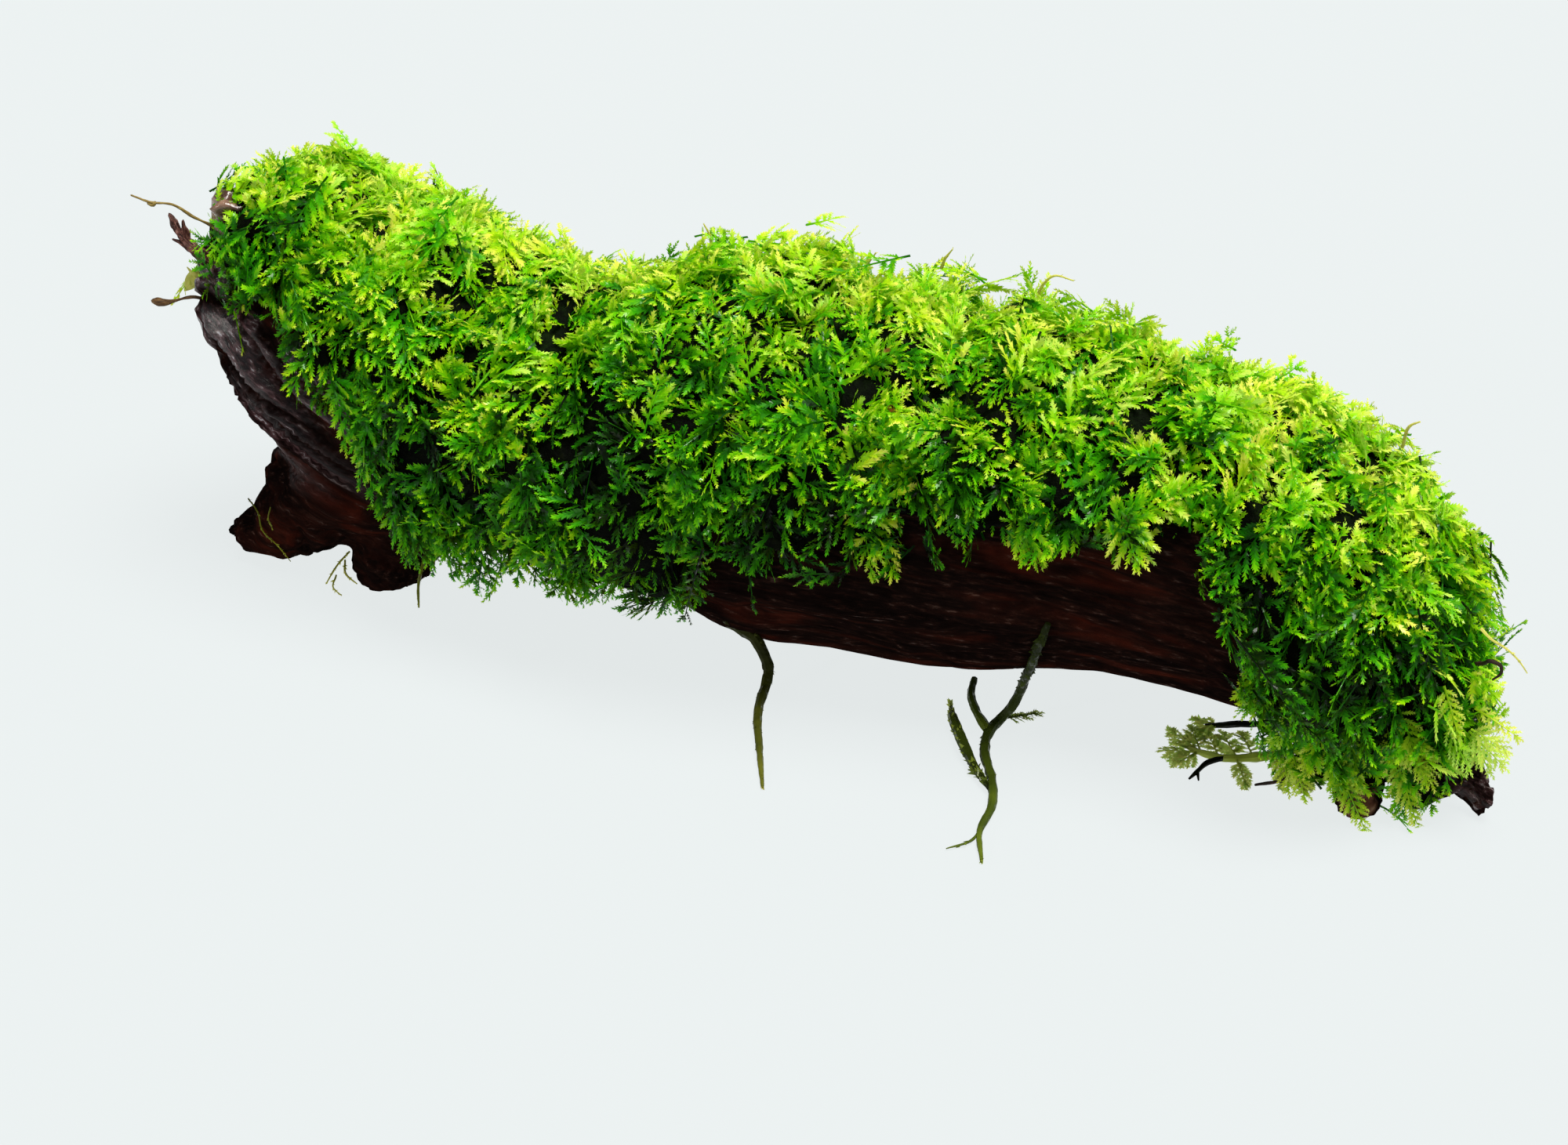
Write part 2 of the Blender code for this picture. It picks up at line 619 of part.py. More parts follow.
def sprout(name, stem_parts, leaves, wood, sides=6, grow=0.0):
    """One loose shoot: its stems and leaves fused to one solid that lies on the floor at its lowest."""
    solids = []
    for index, rows in enumerate(stem_parts):
        stem = tube(f"{name}_stem_{index}", rows, 2 * len(rows), sides, wood, grow)
        solids.append(place(stem, cutters))
    for index, (root, tip, width) in enumerate(leaves):
        solids.append(place(leaf(f"{name}_leaf_{index}", root, tip, width, grow), cutters))
    item = fused(name, solids[0], solids[1:])
    for other in solids[1:]:
        bpy.data.objects.remove(other)
    if grow == 0.0:
        boolean(item, "DIFFERENCE", wood)
        bake(item)
    cutters.objects.unlink(item)
    keep_largest_body(item)
    return item


def centre_on_floor(items):
    """Moves everything so that the origin is the middle of the object's box, at its foot."""
    corners = [item.matrix_world @ vert.co for item in items for vert in item.data.vertices]
    middle_x = (min(c.x for c in corners) + max(c.x for c in corners)) / 2
    middle_y = (min(c.y for c in corners) + max(c.y for c in corners)) / 2
    for item in items:
        item.location = (-middle_x, -middle_y, 0.0)


clear_scene()
parts = make_collection(OBJECT_NAME)
cutters = make_collection("cutters")

bogwood = make_material("wet bogwood", (0.016, 0.008, 0.006), 0.32)
moss_green = make_material("living moss", (0.16, 0.48, 0.02), 0.55)
shoot_green = make_material("trailing moss shoot", (0.07, 0.14, 0.03), 0.5)
fibre_brown = make_material("dry root fibre", (0.22, 0.15, 0.07), 0.7)
bark_brown = make_material("loose bark", (0.13, 0.07, 0.05), 0.65)

floor = floor_block()

trunk = place(trunk_solid("driftwood_trunk"), parts, bogwood)
boolean(trunk, "DIFFERENCE", floor)
bake(trunk)
keep_largest_body(trunk)
trunk_gap = make_cutter(trunk_solid("trunk_gap", FIT_GAP))

left_root = place(left_root_solid("driftwood_left_root"), parts, bogwood)
right_root = place(right_root_solid("driftwood_right_root"), parts, bogwood)
for root in (left_root, right_root):
    boolean(root, "DIFFERENCE", trunk_gap)
    boolean(root, "DIFFERENCE", floor)
    bake(root)
    keep_largest_body(root)
left_gap = make_cutter(left_root_solid("left_root_gap", FIT_GAP))
right_gap = make_cutter(right_root_solid("right_root_gap", FIT_GAP))

# name, stems, leaves, sides round a stem, material
shoots = [
    ("trailing_shoot_centre", [CENTRE_SHOOT], [], 6, shoot_green),
    ("trailing_shoot_forked", [FORKED_SHOOT, FORKED_SIDE], FORKED_LEAVES, 6, shoot_green),
    ("floor_sprig", [FLOOR_SPRIG_MAIN, FLOOR_SPRIG_SIDE], FLOOR_SPRIG_LEAVES, 6, shoot_green),
    ("root_fibre", [ROOT_FIBRE], [], 5, fibre_brown),
    ("bark_splinter", [BARK_SPLINTER], [], 7, bark_brown),
    ("seed_stalk", [SEED_STALK], [], 6, fibre_brown),
]
moss_cutters = [trunk_gap, left_gap, right_gap]
for name, stems, leaves, sides, material in shoots:
    place(sprout(name, stems, leaves, trunk_gap, sides), parts, material)
    moss_cutters.append(make_cutter(sprout(name + "_gap", stems, leaves, trunk_gap, sides, FIT_GAP)))

moss = place(make_moss(moss_cutters, floor), parts, moss_green)
centre_on_floor(parts.objects)

print("triangles", {item.name: len(item.data.polygons) for item in parts.objects})
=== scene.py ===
# Moss on driftwood: feathery aquarium moss grown over a short wet branch of bogwood, with loose shoots at its foot
import math
import bpy
import bmesh
import numpy as np
from mathutils import Matrix, Vector, noise
from mathutils.bvhtree import BVHTree


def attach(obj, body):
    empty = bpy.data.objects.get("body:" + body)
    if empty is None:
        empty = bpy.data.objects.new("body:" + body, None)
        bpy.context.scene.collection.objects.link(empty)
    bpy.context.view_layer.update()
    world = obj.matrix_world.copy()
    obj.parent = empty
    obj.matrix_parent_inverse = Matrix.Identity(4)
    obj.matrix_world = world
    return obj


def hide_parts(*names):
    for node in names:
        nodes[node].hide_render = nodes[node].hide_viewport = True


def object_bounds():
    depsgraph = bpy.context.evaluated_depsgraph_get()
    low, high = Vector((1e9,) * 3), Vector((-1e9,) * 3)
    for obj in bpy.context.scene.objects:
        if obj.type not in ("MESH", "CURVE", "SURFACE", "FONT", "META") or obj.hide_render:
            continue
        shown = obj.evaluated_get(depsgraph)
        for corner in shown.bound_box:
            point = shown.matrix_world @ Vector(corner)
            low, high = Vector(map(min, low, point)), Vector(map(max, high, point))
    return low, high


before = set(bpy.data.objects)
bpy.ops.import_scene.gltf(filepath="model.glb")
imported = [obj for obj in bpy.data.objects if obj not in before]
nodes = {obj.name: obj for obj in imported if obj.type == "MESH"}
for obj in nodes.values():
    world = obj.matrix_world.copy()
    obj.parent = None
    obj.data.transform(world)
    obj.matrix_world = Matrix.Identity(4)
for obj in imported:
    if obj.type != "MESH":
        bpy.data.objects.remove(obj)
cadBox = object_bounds()
mm = 0.001
down = np.array([0.0, 0.0, -1.0])

# Where the CAD's own middle line lies: the source is drawn from here and then centred on its box
centred = np.array([-0.953, -2.294, 0.0]) * mm


# ---- colour, nodes and meshes

def hexColor(code):  # sRGB hex to the linear colour that the shader wants
    channels = [int(code[i:i + 2], 16) / 255 for i in (1, 3, 5)]
    return [c / 12.92 if c <= 0.04045 else ((c + 0.055) / 1.055) ** 2.4 for c in channels] + [1.0]


def addNode(tree, kind, inputs=None, stops=None, **settings):
    # adds one node: settings are its own options, inputs are values or sockets to link from,
    # stops are the colours of a ramp
    node = tree.nodes.new(kind)
    for name, value in settings.items():
        setattr(node, name, value)
    for name, value in (inputs or {}).items():
        socket = node.inputs[name]
        if isinstance(value, bpy.types.NodeSocket):
            tree.links.new(value, socket)
        else:
            socket.default_value = value
    if stops:
        ramp = node.color_ramp
        while len(ramp.elements) < len(stops):
            ramp.elements.new(0.5)
        for element, (place, color) in zip(ramp.elements, stops):
            element.position = place
            element.color = hexColor(color) if isinstance(color, str) else [color, color, color, 1.0]
    return node


def newMaterial(name):
    material = bpy.data.materials.new(name)
    material.use_nodes = True
    tree = material.node_tree
    tree.nodes.clear()
    return material, tree


def meshPiece(name, points, faces, material, growth=None, smooth=False):
    # one mesh object from arrays; growth is three numbers a point that the material reads
    mesh = bpy.data.meshes.new(name)
    mesh.vertices.add(len(points))
    mesh.vertices.foreach_set("co", np.asarray(points, dtype=np.float32).ravel())
    mesh.loops.add(faces.size)
    mesh.loops.foreach_set("vertex_index", faces.astype(np.int32).ravel())
    mesh.polygons.add(len(faces))
    sides = faces.shape[1]
    mesh.polygons.foreach_set("loop_start", np.arange(0, faces.size, sides, dtype=np.int32))
    mesh.polygons.foreach_set("use_smooth", np.full(len(faces), smooth, dtype=bool))
    mesh.update(calc_edges=True)
    if growth is not None:
        attribute = mesh.attributes.new("growth", "FLOAT_VECTOR", "POINT")
        attribute.data.foreach_set("vector", np.asarray(growth, dtype=np.float32).ravel())
    mesh.validate()
    mesh.materials.append(material)
    piece = bpy.data.objects.new(name, mesh)
    bpy.context.scene.collection.objects.link(piece)
    return piece


def unit(vectors):
    return vectors / (np.linalg.norm(vectors, axis=-1, keepdims=True) + 1e-12)


def dot(a, b):
    return (a * b).sum(axis=-1, keepdims=True)


def meshPoints(mesh):
    points = np.empty(len(mesh.vertices) * 3, dtype=np.float32)
    mesh.vertices.foreach_get("co", points)
    return points.reshape(-1, 3).astype(float)


def meshTriangles(mesh):
    mesh.calc_loop_triangles()
    corners = np.empty(len(mesh.loop_triangles) * 3, dtype=np.int32)
    mesh.loop_triangles.foreach_get("vertices", corners)
    return corners.reshape(-1, 3)


def treeOf(*names):
    points, triangles, offset = [], [], 0
    for name in names:
        mesh = nodes[name].data
        own = meshPoints(mesh)
        points.append(own)
        triangles.append(meshTriangles(mesh) + offset)
        offset += len(own)
    points = np.concatenate(points)
    triangles = np.concatenate(triangles)
    return BVHTree.FromPolygons(points.tolist(), triangles.tolist()), points, triangles


def remeshed(name, meshes, voxel, grow, softened=0, lumps=()):
    # the meshes moved out by grow and run together at one voxel size, as a plain mesh
    shape = bmesh.new()
    for mesh in meshes:
        shape.from_mesh(mesh)
    bmesh.ops.remove_doubles(shape, verts=shape.verts, dist=0.00001)
    shape.normal_update()
    for vert in shape.verts:
        vert.co += vert.normal * grow
    for lump in lumps:
        foot, top = Vector(lump[0]) * mm + Vector(centred), Vector(lump[1]) * mm + Vector(centred)
        turn = (top - foot).to_track_quat("Z", "Y").to_matrix().to_4x4()
        bmesh.ops.create_cone(
            shape, cap_ends=True, segments=14, radius1=lump[2] * mm, radius2=lump[3] * mm,
            depth=(top - foot).length, matrix=Matrix.Translation((foot + top) / 2) @ turn)
    mesh = bpy.data.meshes.new(name)
    shape.to_mesh(mesh)
    shape.free()
    piece = bpy.data.objects.new(name, mesh)
    bpy.context.scene.collection.objects.link(piece)
    modifier = piece.modifiers.new("run together", "REMESH")
    modifier.mode = "VOXEL"
    modifier.voxel_size = voxel
    if softened:
        soft = piece.modifiers.new("soften", "SMOOTH")
        soft.iterations = softened
    bpy.context.view_layer.update()
    result = bpy.data.meshes.new_from_object(piece.evaluated_get(bpy.context.evaluated_depsgraph_get()))
    bpy.data.objects.remove(piece)
    bpy.data.meshes.remove(mesh)
    return result


# ---- camera, floor and light

view = {
    "target": np.array([0.0, 0.0, 12.04]) * mm + centred,
    "azimuth": 20.0,
    "elevation": 33.0,
    "distance": 0.45,
    "frameWidth": 0.170,     # what the picture is wide at the target
}

light = {
    "keyFrom": (0.26, 0.02, 0.96),      # a broad soft light overhead
    "keyStrength": 5.2,
    "keyAngle": 34.0,
    "keyColor": "#FFFDF6",
    "glintFrom": (-0.62, -0.70, 0.36),  # a small far one at the left, for the glints on wet wood and leaf
    "glintStrength": 0.6,
    "glintAngle": 8.0,
    "skyColor": "#EEF6FF",
    "skyStrength": 0.26,
    "floorColor": "#3A3D3E",            # the opal floor sheet, which also glows softly from below
    "floorGlow": "#EBF0F0",
    "floorGlowStrength": 0.91,
}


def aim(piece, place, target):
    piece.location = place
    piece.rotation_euler = (Vector(target) - Vector(place)).to_track_quat("-Z", "Y").to_euler()
    bpy.context.scene.collection.objects.link(piece)


def setStage():
    a = math.radians(view["azimuth"])
    e = math.radians(view["elevation"])
    back = np.array([math.sin(a) * math.cos(e), -math.cos(a) * math.cos(e), math.sin(e)])
    lens = bpy.data.cameras.new("camera")
    lens.sensor_width = 36.0
    lens.lens = 36.0 * view["distance"] / view["frameWidth"]
    lens.clip_start = 0.01
    lens.clip_end = 20.0
    camera = bpy.data.objects.new("camera", lens)
    aim(camera, view["target"] + back * view["distance"], view["target"])
    bpy.context.scene.camera = camera

    for name in ("key", "glint"):
        lamp = bpy.data.lights.new(name, "SUN")
        lamp.energy = light[name + "Strength"]
        lamp.angle = math.radians(light[name + "Angle"])
        lamp.color = hexColor(light["keyColor"])[:3]
        aim(bpy.data.objects.new(name, lamp), Vector(light[name + "From"]), (0.0, 0.0, 0.0))

    world = bpy.data.worlds.new("soft room")
    bpy.context.scene.world = world
    world.use_nodes = True
    ground = world.node_tree.nodes["Background"]
    ground.inputs["Color"].default_value = hexColor(light["skyColor"])
    ground.inputs["Strength"].default_value = light["skyStrength"]
    bpy.context.scene.view_settings.view_transform = "Standard"

    paper, tree = newMaterial("opal light table")
    shader = addNode(tree, "ShaderNodeBsdfPrincipled", {
        "Base Color": hexColor(light["floorColor"]), "Roughness": 0.9, "Specular IOR Level": 0.1,
        "Emission Color": hexColor(light["floorGlow"]), "Emission Strength": light["floorGlowStrength"]})
    addNode(tree, "ShaderNodeOutputMaterial", {"Surface": shader.outputs["BSDF"]})
    corners = np.array([[-3, -3, 0], [3, -3, 0], [3, 3, 0], [-3, 3, 0]], dtype=float)
    meshPiece("floor", corners, np.array([[0, 1, 2, 3]]), paper)


setStage()
print("stage set")


# ---- the driftwood

driftwood = {
    "voxel": 0.64 * mm,
    "closeGaps": 0.2 * mm,       # so that the trunk and its roots run together
    "strandHeight": 0.24 * mm,   # rounded strands along the grain, with sharp furrows between them
    "strandWidth": 2.9,          # millimetres
    "strandLength": 90.0,
    "weatheredHeight": 1.15 * mm,  # deeper at the bare left end
    "weatheredEnd": (-42.0, -57.0),
    "fibreHeight": 0.22 * mm,
    "weatheredFibre": 0.34 * mm,
    "fibreWidth": 1.2,
    "fibreLength": 20.0,
    "raggedHeight": 0.9 * mm,    # where the root tips have rotted
    "raggedSize": 2.1,
    "crackDepth": 0.5 * mm,
    "crackSpacing": 4.2,
    "crackLength": 26.0,
    # broken bark that stands up through the moss at the left end, and a stub of root under the right skirt:
    # from, to, and the radii there, in millimetres
    "brokenEnd": ((-67.4, 6.6, 37.5), (-66.1, 5.0, 43.5), 3.0, 1.9),
    "stub": ((65.4, -2.4, 4.6), (65.9, -6.4, 2.3), 2.3, 1.9),
    "brokenHeight": 1.1 * mm,
    # where the branch is fuller underneath: middle and half length along x, in millimetres, and how much
    "belly": (-4.5, 9.0, 2.2 * mm),
}

# the middle line of the branch, in millimetres, which the grain follows
branchLine = np.array([
    (-74.0, 9.0, 47.0), (-66.9, 8.6, 38.4), (-57.2, 8.0, 30.0), (-47.0, 8.0, 24.5), (-34.0, 7.5, 20.5),
    (-20.0, 7.5, 19.3), (-3.0, 8.0, 19.8), (15.0, 8.0, 20.2), (33.0, 7.5, 20.5), (50.0, 7.0, 19.0),
    (60.0, 6.0, 17.6), (69.5, 4.5, 15.8), (82.0, 3.0, 10.0),
]) + centred / mm


def grainPlace(points):
    # each point as millimetres along the grain, and across it forwards and up
    where = points / mm
    steps = np.diff(branchLine, axis=0)
    lengths = np.linalg.norm(steps, axis=1)
    before = np.concatenate(([0.0], np.cumsum(lengths)))
    tangents = unit(np.gradient(branchLine, before, axis=0))
    best = np.full(len(where), np.inf)
    along = np.zeros(len(where))
    for i, step in enumerate(steps):
        share = np.clip(((where - branchLine[i]) @ step) / lengths[i] ** 2, 0.0, 1.0)
        away = np.linalg.norm(where - branchLine[i] - share[:, None] * step, axis=1)
        closer = away < best
        best[closer] = away[closer]
        along[closer] = before[i] + share[closer] * lengths[i]
    centre = np.stack([np.interp(along, before, branchLine[:, k]) for k in range(3)], axis=1)
    tangent = unit(np.stack([np.interp(along, before, tangents[:, k]) for k in range(3)], axis=1))
    up = unit(-down - dot(-down[None], tangent) * tangent)
    front = np.cross(up, tangent)
    across = where - centre
    return np.concatenate([along[:, None], dot(across, front), dot(across, up)], axis=1)


def noiseAt(places, size, offset=0.0):
    # smooth noise between -1 and 1; size is the pattern's length along each axis
    scaled = places / np.asarray(size) + offset
    return np.array([noise.noise(Vector(row)) for row in scaled.tolist()])


def wetBogwood():
    # Bogwood, long soaked and wet: water darkens it nearly to black, with red-brown heartwood showing
    # through in streaks along the grain. A film of water lies on its ridges and makes sharp long glints;
    # the palest of them are painted into the colour of the proudest fibres at the bare end.
    material, tree = newMaterial("wet bogwood")
    grain = addNode(tree, "ShaderNodeAttribute", attribute_name="growth").outputs["Vector"]
    along = addNode(tree, "ShaderNodeSeparateXYZ", {"Vector": grain}).outputs["X"]
    height = addNode(tree, "ShaderNodeAttribute", attribute_name="relief").outputs["Fac"]
    streakAt = addNode(tree, "ShaderNodeVectorMath", {0: grain, 1: (1 / 26.0, 1 / 3.2, 1 / 3.2)},
                       operation="MULTIPLY").outputs["Vector"]
    fineAt = addNode(tree, "ShaderNodeVectorMath", {0: grain, 1: (1 / 2.4, 1 / 0.55, 1 / 0.55)},
                     operation="MULTIPLY").outputs["Vector"]
    streaks = addNode(tree, "ShaderNodeTexNoise", {
        "Vector": streakAt, "Scale": 1.0, "Detail": 4.0, "Roughness": 0.6, "Distortion": 0.4})
    fibres = addNode(tree, "ShaderNodeTexNoise", {
        "Vector": fineAt, "Scale": 1.0, "Detail": 5.0, "Roughness": 0.65})
    patches = addNode(tree, "ShaderNodeTexNoise", {"Vector": grain, "Scale": 0.35, "Detail": 3.0})
    ground = addNode(tree, "ShaderNodeValToRGB", {"Fac": streaks.outputs["Fac"]}, stops=[
        (0.34, "#0B0706"), (0.50, "#150C0A"), (0.58, "#27110C"), (0.68, "#461A10")])
    dashes = addNode(tree, "ShaderNodeValToRGB", {"Fac": fibres.outputs["Fac"]}, stops=[
        (0.36, "#060303"), (0.52, "#130B09"), (0.62, "#2A1712"), (0.74, "#5C4236")])
    mixed = addNode(tree, "ShaderNodeMix", {
        0: patches.outputs["Fac"], 6: ground.outputs["Color"], 7: dashes.outputs["Color"]}, data_type="RGBA")
    # weathered ridges of the bare end: purple-brown, paler than the furrows between them
    bare = addNode(tree, "ShaderNodeMapRange", {
        "Value": along, "From Min": 46.0, "From Max": 22.0, "To Min": 0.0, "To Max": 1.0})
    ridge = addNode(tree, "ShaderNodeMath", {0: bare.outputs["Result"], 1: height}, operation="MULTIPLY")
    bark = addNode(tree, "ShaderNodeValToRGB", {"Fac": fibres.outputs["Fac"]}, stops=[
        (0.36, "#120A0A"), (0.48, "#2E1C1C"), (0.58, "#5A4042"), (0.72, "#9A8684")])
    # painted highlight: the proudest fibres there are painted pale grey, standing in for glints on the wet film
    paintedGlintMask = addNode(tree, "ShaderNodeMapRange", {
        "Value": fibres.outputs["Fac"], "From Min": 0.60, "From Max": 0.66, "To Min": 0.0, "To Max": 1.0})
    barkWithPaintedGlints = addNode(tree, "ShaderNodeMix", {
        0: paintedGlintMask.outputs["Result"], 6: bark.outputs["Color"], 7: hexColor("#B4AEB2")}, data_type="RGBA")
    weathered = addNode(tree, "ShaderNodeMix", {
        0: ridge.outputs[0], 6: mixed.outputs[2], 7: barkWithPaintedGlints.outputs[2]}, data_type="RGBA")
    # freshly broken bark, dry enough to show its own brown
    torn = addNode(tree, "ShaderNodeValToRGB", {"Fac": patches.outputs["Fac"]}, stops=[
        (0.40, "#2A1610"), (0.50, "#5A3A2C"), (0.60, "#8A6A56"), (0.70, "#4A2A1E")])
    broken = addNode(tree, "ShaderNodeMapRange", {
        "Value": height, "From Min": 1.05, "From Max": 1.5, "To Min": 0.0, "To Max": 1.0})
    colored = addNode(tree, "ShaderNodeMix", {
        0: broken.outputs["Result"], 6: weathered.outputs[2], 7: torn.outputs["Color"]}, data_type="RGBA")
    film = addNode(tree, "ShaderNodeMapRange", {
        "Value": streaks.outputs["Fac"], "From Min": 0.42, "From Max": 0.50, "To Min": 0.0, "To Max": 1.0})
    onRidges = addNode(tree, "ShaderNodeMath", {0: film.outputs["Result"], 1: ridge.outputs[0]},
                       operation="MULTIPLY")
    onFibres = addNode(tree, "ShaderNodeMapRange", {
        "Value": fibres.outputs["Fac"], "From Min": 0.62, "From Max": 0.70, "To Min": 0.0, "To Max": 0.16})
    wet = addNode(tree, "ShaderNodeMath", {0: onRidges.outputs[0], 1: onFibres.outputs["Result"]},
                  operation="MAXIMUM")
    gloss = addNode(tree, "ShaderNodeMapRange", {
        "Value": fibres.outputs["Fac"], "From Min": 0.35, "From Max": 0.7, "To Min": 0.28, "To Max": 0.6})
    relief = addNode(tree, "ShaderNodeBump", {
        "Height": fibres.outputs["Fac"], "Strength": 0.55, "Distance": 0.25 * mm})
    broad = addNode(tree, "ShaderNodeBump", {
        "Height": streaks.outputs["Fac"], "Strength": 0.6, "Distance": 0.5 * mm,
        "Normal": relief.outputs["Normal"]})
    shader = addNode(tree, "ShaderNodeBsdfPrincipled", {
        "Base Color": colored.outputs[2], "Roughness": gloss.outputs["Result"], "IOR": 1.40,
        "Specular IOR Level": 0.0, "Normal": broad.outputs["Normal"],
        "Coat Weight": wet.outputs[0], "Coat Roughness": 0.14, "Coat IOR": 1.50,
        "Coat Normal": broad.outputs["Normal"]})
    addNode(tree, "ShaderNodeOutputMaterial", {"Surface": shader.outputs["BSDF"]})
    return material


def quadsOf(mesh):
    faces = np.empty(len(mesh.loops), dtype=np.int32)
    mesh.loops.foreach_get("vertex_index", faces)
    return faces.reshape(-1, 4)


def addRelief(piece, values):
    # how high each point stands on a ridge, which the wood's colours follow
    relief = piece.data.attributes.new("relief", "FLOAT", "POINT")
    relief.data.foreach_set("value", np.asarray(values, dtype=np.float32))


bogwood = wetBogwood()


def makeDriftwood():
    names = ("driftwood_trunk", "driftwood_left_root", "driftwood_right_root")
    mesh = remeshed("driftwood", [nodes[name].data for name in names],
                    driftwood["voxel"], driftwood["closeGaps"],
                    lumps=(driftwood["brokenEnd"], driftwood["stub"]))
    points = meshPoints(mesh)
    normals = np.empty(len(points) * 3, dtype=np.float32)
    mesh.vertices.foreach_get("normal", normals)
    normals = normals.reshape(-1, 3)
    grain = grainPlace(points)
    place = (points - centred) / mm
    wide, long = driftwood["strandWidth"], driftwood["strandLength"]
    bent = grain + 0.4 * noiseAt(grain, 11.0, 5.0)[:, None]
    rounded = np.abs(noiseAt(bent, (long, wide, wide)))
    strands = np.clip(rounded / 0.34, 0.0, 1.0) ** 0.6 - 0.62
    fibres = noiseAt(grain, (driftwood["fibreLength"], driftwood["fibreWidth"], driftwood["fibreWidth"]), 17.0)
    spacing = driftwood["crackSpacing"]
    cracks = np.exp(-(noiseAt(grain, (driftwood["crackLength"], spacing, spacing), 41.0) / 0.07) ** 2)
    start, end = driftwood["weatheredEnd"]
    weathered = np.clip((place[:, 0] - start) / (end - start), 0.0, 1.0)
    height = strands * (driftwood["strandHeight"] + weathered * driftwood["weatheredHeight"])
    height += fibres * (driftwood["fibreHeight"] + weathered * driftwood["weatheredFibre"])
    height -= cracks * driftwood["crackDepth"]
    ragged = noiseAt(place, driftwood["raggedSize"], 9.0)
    tips = np.clip((-57.0 - place[:, 0]) / 6.0, 0.0, 1.0) * np.clip((16.0 - place[:, 2]) / 6.0, 0.0, 1.0)
    height = height * (1.0 - 0.5 * tips) + ragged * tips * driftwood["raggedHeight"]
    broken = np.array(driftwood["brokenEnd"][1])
    near = np.clip(1.0 - np.linalg.norm(place - broken, axis=1) / 5.0, 0.0, 1.0)
    torn = ragged + 0.8 * noiseAt(place, (0.9, 0.9, 2.2), 12.0)
    height = height * (1.0 - near) + torn * near * driftwood["brokenHeight"] * 2.0
    middle, reach, fuller = driftwood["belly"]
    under = np.clip((15.0 - place[:, 2]) / 6.0, 0.0, 1.0) * np.clip((7.0 - place[:, 1]) / 4.0, 0.0, 1.0)
    height += fuller * under * np.exp(-((place[:, 0] - middle) / reach) ** 2)
    height *= np.clip(points[:, 2] / (1.5 * mm), 0.0, 1.0)  # its feet stay flat
    points += normals * (height - driftwood["closeGaps"])[:, None]
    # the right end thins into the curl of bark
    thin = 0.8 * np.clip((place[:, 0] - 72.6) / 2.6, 0.0, 1.0) * np.clip((10.0 - place[:, 2]) / 2.0, 0.0, 1.0)
    middle = (0.6 - 0.37 * (7.2 - points[:, 2] / mm)) * mm + centred[1]
    points[:, 1] += (middle - points[:, 1]) * thin
    points[:, 2] = np.maximum(points[:, 2], 0.0)
    piece = meshPiece("driftwood", points, quadsOf(mesh), bogwood, growth=grain, smooth=True)
    abovePaintedFootShade = np.clip((points[:, 2] / mm - 12.0) / 8.0, 0.0, 1.0)   # painted shade: the foot keeps its darkest colour, without the paler ridges
    stub = np.array(driftwood["stub"][1])
    stubNear = np.clip(1.0 - np.linalg.norm(place - stub, axis=1) / 4.2, 0.0, 1.0) * (place[:, 1] < -3.4)
    addRelief(piece, abovePaintedFootShade * np.clip(strands / 0.38, 0.0, 1.0) + 2.2 * near + 3.0 * stubNear)
    bpy.data.meshes.remove(mesh)
    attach(piece, "root")
    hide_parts(*names)
    print("driftwood", 2 * len(piece.data.polygons), "triangles")
    return piece


# the curl of bark at the end of the right root: its outline, in millimetres, round the hook
barkCurl = {
    "outline": [
        (74.0, 0.6, 7.6), (76.0, 0.5, 7.8), (77.0, -0.2, 5.6), (78.0, -0.9, 3.9), (78.9, -1.2, 3.4),
        (79.1, -1.5, 2.7), (78.7, -1.8, 1.7), (77.5, -2.0, 0.95), (77.0, -1.9, 1.2), (77.4, -1.7, 1.9),
        (77.4, -1.3, 2.7), (76.6, -1.1, 3.2), (75.4, -1.2, 2.6), (74.3, -1.4, 1.8), (72.9, -1.5, 1.0),
        (73.2, -1.3, 1.9), (73.8, -1.0, 3.0), (73.6, -0.4, 4.6)],
    "thickness": 1.1 * mm,
    "curl": 0.5 * mm,
    "voxel": 0.26 * mm,
    "relief": 0.28 * mm,
}


